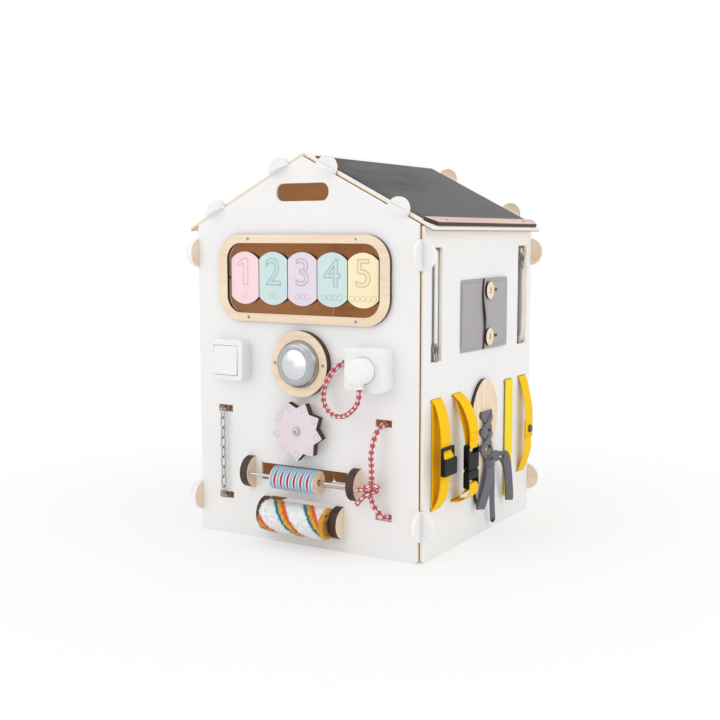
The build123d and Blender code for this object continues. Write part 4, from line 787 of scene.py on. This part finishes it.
knot_parts = [rope_mesh(smooth_line(route), KNOT_RADIUS) for route in knot_routes]
knot = piece("rope_tied_knot", joined(knot_parts), braid, "house", "rope_knot")
upper_line = smooth_line(upper_route)
upper = piece("rope_upper_run", rope_mesh(upper_line, ROPE_RADIUS), braid, "house", "rope_upper")
upper_route[0]
lower_line = smooth_line(lower_route)
lower = piece("rope_lower_run", rope_mesh(lower_line, ROPE_RADIUS), braid, "house", "rope_lower")
lower_route[0]

# Straps on the right wall, between their high and low slots, with their ends behind it
HIGH, LOW = 240.0, 76.0
INSIDE, LAYER = -7.1, 0.95
STRAP_WIDE, STRAP_THICK = 30.0, 1.6


def strap(name, y, route, replaced, finish=yellow_webbing, body="house", width=STRAP_WIDE):
    """A strap along places off the wall and up; a place given twice is a sharp turn."""
    line = smooth_line([right(y, off, z) for off, z in route], 10)
    mesh = band_mesh(line, faces_across(line, (0, 1, 0)), width, STRAP_THICK)
    return piece(name, mesh, finish, body, replaced)


def twice(*places):
    return [place for place in places for _ in range(2)]


def through(slot, end, off=1, inside=INSIDE):
    """A strap from its end behind the wall out through a slot."""
    return [(inside, end), *twice((inside, slot), (off, slot))]


ladder_route = [
    *through(HIGH + LAYER, HIGH + 16), (8, HIGH - 8), (15, HIGH - 34), (17, 186), (17.9, 164), (23.1, 157),
    (23.1, 145), (17.9, 138), (17, 120), (13, 94), (6, LOW + 6), *through(LOW - LAYER, LOW - 16)[::-1]]
flat_route = [
    *through(HIGH - LAYER, HIGH - 17, 1.1), (2.2, 200), (1.4, 158), (2.4, 116),
    *through(LOW + LAYER, LOW + 17, 1.1)[::-1]]
clip_upper_route = [
    *through(HIGH + LAYER, HIGH + 16), (13, HIGH - 8), (25, HIGH - 30), (30.6, 189), (30.6, 166), (29.5, 159.5),
    (26.5, 158.9), (23.2, 159.5), (22.4, 166), (21.6, 179), (15, 206), (6, 232)]
clip_lower_route = [
    *through(LOW - LAYER, LOW - 16), (14, LOW + 0.5), (26, LOW + 8), (30.6, 92.7), (30.6, 98), (29.5, 104.2),
    (26.5, 104.8), (23.2, 104.2), (22.4, 98), (20.4, 92), (9.4, 85)]
hook_route = [*through(HIGH, HIGH + 16, 3, INSIDE - 0.8), (3, 200), (3.1, 120), (3, 44)]
snap_upper_route = [
    *through(HIGH, HIGH + 16), (6, HIGH - 10), (11, HIGH - 34), (15.95, 184), (15.95, 152), (15.95, 135)]
snap_lower_route = [
    *through(LOW, LOW - 16), (6, LOW + 9), (11, LOW + 26), (14.05, 112), (14.05, 140), (14.05, 165)]

strap("ladder_webbing", LADDER_Y, ladder_route, "ladder_strap")
strap("ladder_webbing_return", LADDER_Y, flat_route, "ladder_strap", width=29.0)
strap("clip_webbing_upper", CLIP_Y, clip_upper_route, "clip_strap_upper")
clip_low = strap("clip_webbing_lower", CLIP_Y, clip_lower_route, "clip_strap_lower", body=None)
right(CLIP_Y, 2, LOW)
right(CLIP_Y, 24, 99)
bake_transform(clip_low)
strap("hook_tape", HOOK_Y, hook_route, "hook_strap", lemon_tape)
hook_patch = [right(HOOK_Y, 0.95, z) for z in (46, 60, 80, 104)]
piece("hook_patch", band_mesh(hook_patch, OUT, 28, 1.5), lemon_tape, "house", "hook_strap")
strap("snap_webbing_upper", SNAP_Y, snap_upper_route, "snap_strap")
strap("snap_webbing_lower", SNAP_Y, snap_lower_route, "snap_strap")

# Cloth flaps, each with its tab through a slit
LEFT_SLIT, RIGHT_SLIT, TAB_HALF = -79, 87, 49.5
LEFT_OFF, RIGHT_OFF, CLOTH_THICK = 1.3, 3.6, 1.8
HEM = 0.91


def left_ease(share, lane):
    """The left flap swells a little in the middle."""
    pillow = sin(pi * min(share * 1.25, 1)) * (1 - lane ** 4) * 1.2
    return Vector((max(0.0, pillow) * MM, 0, 0.35 * MM * sin(9 * share) * lane))


def right_ease(share, lane):
    """The right flap's free edge waves and lifts a little."""
    free = max(0.0, 1 - share * 1.35)
    wave = -4 * sin(pi * lane) * free ** 2
    lift = 2.6 * free ** 3 * cos(2.6 * lane) + 0.6 * sin(pi * min(share * 1.2, 1)) * (1 - lane ** 4)
    return Vector((max(0.0, lift) * MM, wave * MM, 0))


def flap(name, places, ease, body, replaced):
    """A flap along places on the wall, at full height there and at its tab's height where it dips into the
    slit. It comes with its sheet: the line, the ways it looks and the ease, which trim is laid by."""
    line = smooth_line([right(y, off, FLAP_Z) for y, off in places], 8)
    faces = faces_across(line, (0, 0, -1))
    offs = [p.x / MM - RIGHT_OUT for p in line]
    widths = [2 * TAB_HALF if off < -1 else 2 * FLAP_HALF - max(0.0, 1.5 - off) * 4 for off in offs]
    mesh = band_mesh(line, faces, widths, CLOTH_THICK, 18, ease)
    return piece(name, mesh, grey_cloth, body, replaced), (line, faces, ease)


def on_cloth(sheet, spots, lift=1.0):
    """Points on a flap's outer face, given as rows of its line and lanes across it."""
    line, faces, ease = sheet
    points, ways = [], headings(line)
    for row, lane in spots:
        across = ways[row].cross(faces[row]).normalized()
        flat = line[row] + across * lane * FLAP_HALF * MM
        points.append(flat + ease(row / (len(line) - 1), lane) + OUT * lift * MM)
    return points


def rows_between(sheet, low, high):
    """The rows of a flap's line that lie on the wall between two places along it."""
    return [i for i, p in enumerate(sheet[0])
            if low <= p.y / MM - HOUSE_Y <= high and p.x / MM > RIGHT_OUT + 1]


def side_hems(sheet, rows):
    return [on_cloth(sheet, [(row, side * HEM) for row in rows]) for side in (-1, 1)]


left_places = [*[(LEFT_SLIT, off) for off in (-15, -8, -1, LEFT_OFF, LEFT_OFF)],
               *[(y, LEFT_OFF) for y in (-60, -30, 0, 40)]]
left_flap, left_sheet = flap("flap_left_cloth", left_places, left_ease, "house", "flap_left")
right_places = [*[(y, RIGHT_OFF) for y in (-2, 15, 40, 65)],
                *[(RIGHT_SLIT, off) for off in (RIGHT_OFF, RIGHT_OFF, 1, -6, -15)]]
right_flap, right_sheet = flap("flap_right_cloth", right_places, right_ease, None, "flap_right")
right(87, 3.6, FLAP_Z)
right(80, 3.6, FLAP_Z)
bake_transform(right_flap)

lanes = [HEM * (i / 8 - 1) for i in range(17)]
hem_sizes = {"Step": 3.2, "Length": 2.2, "Thick": 0.5}
left_hems = side_hems(left_sheet, rows_between(left_sheet, -74, -4))
grown("flap_left_hems", path_mesh(*left_hems), stitching, grey_thread, "house", **hem_sizes)
right_rows = rows_between(right_sheet, 3, 80)
end_hem = on_cloth(right_sheet, [(right_rows[0], lane) for lane in lanes])
right_hems = path_mesh(*side_hems(right_sheet, right_rows), end_hem)
grown("flap_right_hems", right_hems, stitching, grey_thread, "flap", **hem_sizes)
# The right flap's free edge gets a dark thread binding that also paints the shadow of the gap along that edge.
free_edge = path_mesh(on_cloth(right_sheet, [(0, lane / HEM * 0.985) for lane in lanes], 0.0))
grown("flap_right_shadow_binding", free_edge, stitching, painted_shade, "flap", Step=0.9, Length=1.5, Thick=2.6)

# Buttonholes as dark slits and the buttons' holes as dark discs, both painted shade, and the thread of the
# buttons
BUTTON_Y, BUTTON_UP, BUTTON_FACE = 12.0, 37, 8.9
hole_rows = rows_between(right_sheet, 8, 47)
for name, side in (("low", -1), ("high", 1)):
    slit = on_cloth(right_sheet, [(row, side * (BUTTON_UP / FLAP_HALF)) for row in hole_rows], 0.0)
    piece(f"buttonhole_{name}", band_mesh(slit, OUT, 2.6, 2.5), painted_shade, "flap")
    edges = [[p + Vector((face * MM, 0, shift * MM)) for p in slit]
             for shift in (-1.9, 1.9) for face in (-1, 1)]
    grown(f"buttonhole_edge_{name}", path_mesh(*edges), stitching, grey_thread, "flap",
          Step=1.0, Length=0.7, Thick=0.9)
button_spots = [right(BUTTON_Y, BUTTON_FACE, FLAP_Z + side * BUTTON_UP + up)
                for side in (-1, 1) for up in (-3.6, 3.6)]
pegs = point_mesh(button_spots, [(0, pi / 2, 0)] * len(button_spots))
grown("button_holes", pegs, holes, painted_shade, "house", smooth=False, Radius=1.5, Depth=0.2)
for name, ends in (("low", button_spots[:2]), ("high", button_spots[2:])):
    thread = [ends[0].lerp(ends[1], i / 6) + OUT * 0.5 * sin(pi * i / 6) * MM for i in range(7)]
    piece(f"button_thread_{name}", band_mesh(thread, OUT, 1.3, 0.7), brown_thread, "house")

# Zip tapes behind their slots, and the edge of the back one that stands out of its slot
TAPE_OFF, TAPE_THICK, TEETH_OFF = -6.7, 0.9, -5.0
for name, y, finish in (("front", -ZIP_Y, zip_green), ("back", ZIP_Y, zip_beige)):
    tape_line = [right(y, TAPE_OFF, ZIP_Z - 88 + 8 * i) for i in range(22)]
    piece(f"zip_tape_{name}", band_mesh(tape_line, OUT, 46, TAPE_THICK), finish, "house", "zip_tapes")
lip_line = smooth_line([right(ZIP_Y + y, off, ZIP_Z + z) for y, off, z in (
    (8, -6, -77), (8.5, -3, -74), (9.5, 0, -66), (9, 0.2, -44), (10.5, 0.6, -22), (9.2, 0.2, 2), (8.8, 0.1, 24),
    (10.4, 0.6, 44), (9.2, 0, 60), (8.5, -3, 68), (8, -6, 71))], 8)
lip = band_mesh(lip_line, Vector((0.87, -0.5, 0)), 10, TAPE_THICK)
piece("zip_tape_back_lip", lip, zip_beige, "house", "zip_tapes")

# Fleece roller
FLEECE_SIDES, FLEECE_BORE = 48, 10


def fleece_ring(x, reach):
    """Points round the fleece roller's axis."""
    axis = front(0, ROLLER_OFF, FLEECE_Z)
    turns = [2 * pi * k / FLEECE_SIDES for k in range(FLEECE_SIDES)]
    return [axis + Vector((x, reach * cos(turn), reach * sin(turn))) * MM for turn in turns]


def fleece_sleeve(radius, half):
    """A sleeve whose ends are rounded over."""
    profile = [(-half, 6), (-half, 9), (-half, radius - 5), (-half, radius - 3), (-half + 1, radius - 1),
               (-half + 3, radius)]
    profile += [(-x, reach) for x, reach in profile[::-1]]
    marks = [[(x * MM, k / FLEECE_SIDES) for k in range(FLEECE_SIDES)] for x, _ in profile]
    return skin([fleece_ring(x, reach) for x, reach in profile], marks, True)


def open_tube(radius, half):
    """The surface that the pile grows from: the round and both ends, open at the core."""
    mesh = bmesh.new()
    profile = ((-half, FLEECE_BORE), (-half, radius), (half, radius), (half, FLEECE_BORE))
    rows = [[mesh.verts.new(point) for point in fleece_ring(x, reach)] for x, reach in profile]
    for low, high in zip(rows, rows[1:]):
        for k in range(FLEECE_SIDES):
            n = (k + 1) % FLEECE_SIDES
            mesh.faces.new((low[k], low[n], high[n], high[k]))
    bmesh.ops.recalc_face_normals(mesh, faces=mesh.faces)
    return settled(mesh)


piece("fleece_backing", fleece_sleeve(22.6, 58.6), fleece, "fleece_roller", "fleece_cover")
tufts = grow(open_tube(22.0, 57.2), pile, fleece, Density=330000.0, Thick=1.0 * MM, Length=4.0 * MM, Seed=7)
piece("fleece_pile", tufts, None, "fleece_roller", "fleece_cover")

# Engraving on the number plates and the gear
ONE = ((-0.21, 0.5), (-0.21, 0.58), (-0.03, 0.7), (0.09, 0.7), (0.09, 0.0), (-0.04, 0.0), (-0.04, 0.57))
PLATE_PITCH, PLATE_FACE, DIGIT_TALL = 54.0, 1.0, 43
DIGIT_UP, COUNT_UP, COUNT_PITCH = 10.5, -27, 9.4
GEAR_FACE, GEAR_RINGS, GEAR_REACH = 19.3, 9, 36


def digit_mesh(number, middle):
    """The outline of a digit as a fine line on the plate's face; the one has a flag."""
    text = bpy.data.curves.new("digit", "CURVE" if number == 1 else "FONT")
    if number == 1:
        stroke = text.splines.new("POLY")
        stroke.points.add(len(ONE) - 1)
        stroke.use_cyclic_u = True
        for corner, spot in zip(stroke.points, ONE):
            corner.co = (*spot, 0, 1)
        text.dimensions = "3D"
    else:
        text.body = str(number)
        text.align_x = "CENTER"
        text.fill_mode = "NONE"
    text.bevel_depth = 0.02
    text.bevel_resolution = 1
    mesh = plain(link("digit", text))
    low = min(v.co.y for v in mesh.vertices)
    high = max(v.co.y for v in mesh.vertices)
    size = DIGIT_TALL * MM / (high - low)
    mesh.transform(Matrix.Translation((0, -(low + high) / 2, 0)))
    mesh.transform(Matrix.Diagonal((size * 1.05, size, size * 0.3, 1)))
    mesh.transform(Matrix.Translation(middle) @ Matrix.Rotation(pi / 2, 4, "X"))
    return mesh


for number, paint in enumerate(PLATES, 1):
    x = (number - 3) * PLATE_PITCH
    groove = plastic_finish(f"{paint}_groove_{number}", GROOVES[paint], GROOVES[paint], 0.6)
    digit = digit_mesh(number, front(x, PLATE_FACE, WINDOW_Z + DIGIT_UP))
    piece(f"digit_{number}", digit, groove, f"plate_{number}")
    spots = [front(x + (i - (number - 1) / 2) * COUNT_PITCH, PLATE_FACE, WINDOW_Z + COUNT_UP)
             for i in range(number)]
    rings = point_mesh(spots)
    grown(f"count_rings_{number}", rings, ring_cuts, groove, f"plate_{number}", Radius=4.1, Line=0.5)

gear_groove = plastic_finish("gear_groove", "cbb9c4", "c2afbb", 0.6)
turns = [radians(-90 + 360 // GEAR_RINGS * i) for i in range(GEAR_RINGS)]
spots = [front(GEAR_REACH * cos(turn), GEAR_FACE, GEAR_Z + GEAR_REACH * sin(turn)) for turn in turns]
grown("gear_rings", point_mesh(spots), ring_cuts, gear_groove, "gear", Radius=4.4, Line=0.4)

# Dark crosses on the screw heads, painted shade of their recesses
FRAME_FACE, LAMP_FACE, BOLT_FACE = 6.0, 12.0, 23.4
SLOPE_LONG, LEDGE_INSET, LEDGE_HALF = 246.9, 4, 9
frame_spots = [front(x, FRAME_FACE, WINDOW_Z + z) for x in (-98, 98) for z in (-61, 61)]
lamp_spots = [front(x, LAMP_FACE, ROW_Z) for x in (-44, 44)]
bolt_spot = front(0, BOLT_FACE, GEAR_Z)
front_heads = point_mesh([*frame_spots, *lamp_spots, bolt_spot], [(pi / 2, 0.5 + i, 0) for i in range(7)])
down = SLOPE_LONG - LEDGE_INSET - LEDGE_HALF
ledge_x = HOUSE_X + down * cos(PITCH) + 2 * PLY * sin(PITCH)
ledge_z = RIDGE_Z - down * sin(PITCH) + 2 * PLY * cos(PITCH)
ledge_spots = [Vector((ledge_x, HOUSE_Y + y, ledge_z)) * MM for y in (-144.85, 144.85)]
ledge_heads = point_mesh(ledge_spots, [(0, PITCH, 0.4), (0, PITCH, 1.1)])
for name, heads in (("front", front_heads), ("ledge", ledge_heads)):
    grown(f"screw_crosses_{name}", heads, screw_cross, painted_shade, "house", smooth=False, Length=3.6, Line=0.8)

# Zip teeth
for name, y in (("front", -ZIP_Y), ("back", ZIP_Y)):
    rows = [[right(y + side * 1.3, TEETH_OFF, ZIP_Z + z + shift) for z in (-86, 78)]
            for side, shift in ((-1, 0), (1, 0.9))]
    grown(f"zip_teeth_{name}", path_mesh(*rows), zip_teeth, nickel, "house", "zip_tapes", smooth=False,
          Step=1.8, Length=0.9, Thick=2.4)

# Lace on the shoe: runs between the eyelets, two loops, a tail, and the bow's knot
SHOE_Y, EYELET_HALF, EYELET_TOP, EYELET_PITCH = 4, 19, 197, 27
LACE_THICK, LACE_COLUMNS = 1.4, 4
BOW = (SHOE_Y, 14.2, 119)
eyelets = [(SHOE_Y + side * EYELET_HALF, EYELET_TOP - row * EYELET_PITCH)
           for row in range(3) for side in (-1, 1)]


def lace_cross(start, end, lift):
    """A run of the lace from one eyelet over the sole to another, narrow where it goes in."""
    (y1, z1), (y2, z2) = start, end
    places = ((0, 4), (0, 8), (0.12, lift), (0.5, lift + 1.0), (0.88, lift), (1, 8), (1, 4))
    line = smooth_line([right(y1 + (y2 - y1) * share, off, z1 + (z2 - z1) * share) for share, off in places], 6)
    last = len(line) - 1
    widths = [4.2 + 6.8 * min(1.0, 3.2 * min(i / last, 1 - i / last)) for i in range(last + 1)]
    across = (line[-1] - line[0]).normalized().cross(OUT)
    return band_mesh(line, faces_across(line, across), widths, LACE_THICK, LACE_COLUMNS)


def lace_run(points, width=13.0):
    """A loop or a tail of the bow, turned a little to the front, folded flat where it turns back."""
    line = smooth_line([right(*p) for p in points], 10)
    return band_mesh(line, faces_across(line, (0.66, 0.75, 0)), width, LACE_THICK, LACE_COLUMNS)


lace_parts = [lace_cross(start, end, lift) for start, end, lift in (
    (eyelets[0], eyelets[1], 9.0), (eyelets[0], eyelets[3], 9.4), (eyelets[1], eyelets[2], 11.6),
    (eyelets[2], eyelets[5], 9.4), (eyelets[3], eyelets[4], 11.6), (eyelets[4], (8, 118), 10.0),
    (eyelets[5], (0, 118), 11.8))]
lace_parts += [
    lace_run(((4, 15, 121), (-6, 21, 104), (-18, 20.5, 80), (-27, 17, 56), (-29, 15.5, 49), (-27, 12, 47),
              (-23, 10.5, 53), (-14, 12, 78), (-3, 12.5, 104), (3, 12, 119))),
    lace_run(((5, 15, 119), (13, 20, 131), (30, 25, 135), (48, 25, 122), (62, 22.5, 94), (75, 19.5, 62),
              (82, 17.5, 44), (85, 14.5, 39), (88, 12.5, 45), (82, 14.5, 66), (70, 17, 96), (52, 18.5, 117),
              (28, 17, 123), (6, 13, 119))),
    lace_run(((6, 17, 118), (5, 19, 96), (10, 16.5, 62), (22, 12.5, 34), (32, 9, 15)), 9.0),
]
bow_y, bow_off, bow_z = BOW
knot_loop = [right(bow_y + 8.0 * cos(a), bow_off + 7.2 * sin(a), bow_z + 1.5 * sin(2 * a))
             for a in [2 * pi * k / 14 for k in range(15)]]
knot_faces = [(p - right(*BOW)).normalized() for p in knot_loop]
lace_parts.append(band_mesh(knot_loop, knot_faces, 13, 2.2, LACE_COLUMNS))
piece("shoe_lace_tied", joined(lace_parts), grey_lace, "house", "shoe_lace")
tip = [right(*p) for p in ((29.6, 10.6, 25), (31, 9.7, 19), (32, 9, 13))]
piece("lace_tip", band_mesh(tip, OUT, 3.6, 2.8), black_plastic, "house")

# Seams on the straps: a crossed box above the clip, and two rows at the end of the upper snap strap
box_seam = [right(CLIP_Y + y, 31.5, z)
            for y, z in ((-12, 172), (12, 172), (12, 184), (-12, 184), (-12, 172), (12, 184))]
snap_seams = [[right(SNAP_Y + y, 16.8, z) for y in (-13, 13)] for z in (138, 141.5)]
grown("strap_seams", path_mesh(box_seam, *snap_seams), stitching, yellow_thread, "house",
      Step=2.6, Length=1.9, Thick=0.6)

# Stage: a pale floor that fades into white away from the house
ground = Finish("pale_floor", Roughness=0.9)
ground.done(ground.mix(ground.noise(2.0), "f4f4f4", "f8f8f8"))
floor_mesh = bpy.data.meshes.new("floor")
floor_mesh.from_pydata([(-6, -6, 0), (6, -6, 0), (6, 6, 0), (-6, 6, 0)], [], [(0, 1, 2, 3)])
ground.coat(floor_mesh)
floor = link("floor", floor_mesh)
rays = ground.node("ShaderNodeLightPath", out="Is Camera Ray")
glow = ground.node("ShaderNodeEmission", {"Color": (1, 1, 1, 1), "Strength": 1.0})
lit = Value(ground, ground.shader.outputs[0])
spread = ground.node("ShaderNodeVectorMath", {0: ground.place()}, "Value", operation="LENGTH")
reach = {"Value": spread, 1: 0.3, 2: 0.95, 3: 0.5, 4: 1.0}
fade = ground.node("ShaderNodeMapRange", reach, interpolation_type="SMOOTHSTEP")
seen = ground.node("ShaderNodeMixShader", {0: rays * fade, 1: lit, 2: glow})
ground.tree.links.new(seen.socket, ground.tree.nodes["Material Output"].inputs["Surface"])

# Light and camera
world = bpy.data.worlds.new("studio")
bpy.context.scene.world = world
world.use_nodes = True
sky = Net(world.node_tree)
sky.tree.nodes.clear()
seen_by = sky.node("ShaderNodeLightPath", out="Is Camera Ray")
direct = seen_by + seen_by["Is Glossy Ray"] + seen_by["Is Transmission Ray"] > 0.5
backdrop, fill = [sky.node("ShaderNodeBackground", {"Color": (1, 1, 1, 1), "Strength": strength})
                  for strength in (1.0, 0.8)]
sky_mix = sky.node("ShaderNodeMixShader", {0: direct, 1: fill, 2: backdrop})
sky_end = sky.tree.nodes.new("ShaderNodeOutputWorld")
sky.tree.links.new(sky_mix.socket, sky_end.inputs["Surface"])


def lamp(name, place, target, size, power):
    light = bpy.data.lights.new(name, "AREA")
    light.shape = "SQUARE"
    light.size = size
    light.energy = power
    holder = link(name, light)
    holder.location = place
    holder.rotation_euler = (Vector(target) - Vector(place)).to_track_quat("-Z", "Y").to_euler()


lamp("key_light", (-1.3, -2.4, 1.7), (0, 0, 0.35), 2.4, 13)
lamp("side_light", (2.6, 0.2, 1.5), (0, 0, 0.3), 2.2, 14)
lamp("low_fill", (-0.5, -2.6, 0.2), (0, 0, 0.1), 1.4, 4)
lamp("top_light", (0.2, -0.3, 3.0), (0, 0, 0.4), 2.2, 10)
inner = bpy.data.lights.new("inside_glow", "POINT")
inner.energy = 0.27
inner.color = (1.0, 0.62, 0.4)
inner.shadow_soft_size = 0.08
link("inside_glow", inner).location = (0.02, 0.05, 0.34)

camera = bpy.data.cameras.new("camera")
camera.sensor_width = 36
camera.lens = 55.31
eye = link("camera", camera)
eye.location = (0.9352, -1.5997, 0.4843)
eye.rotation_euler = (radians(90 - 6.48), 0, radians(30.83))
bpy.context.scene.camera = eye
bpy.context.scene.view_settings.view_transform = "Standard"
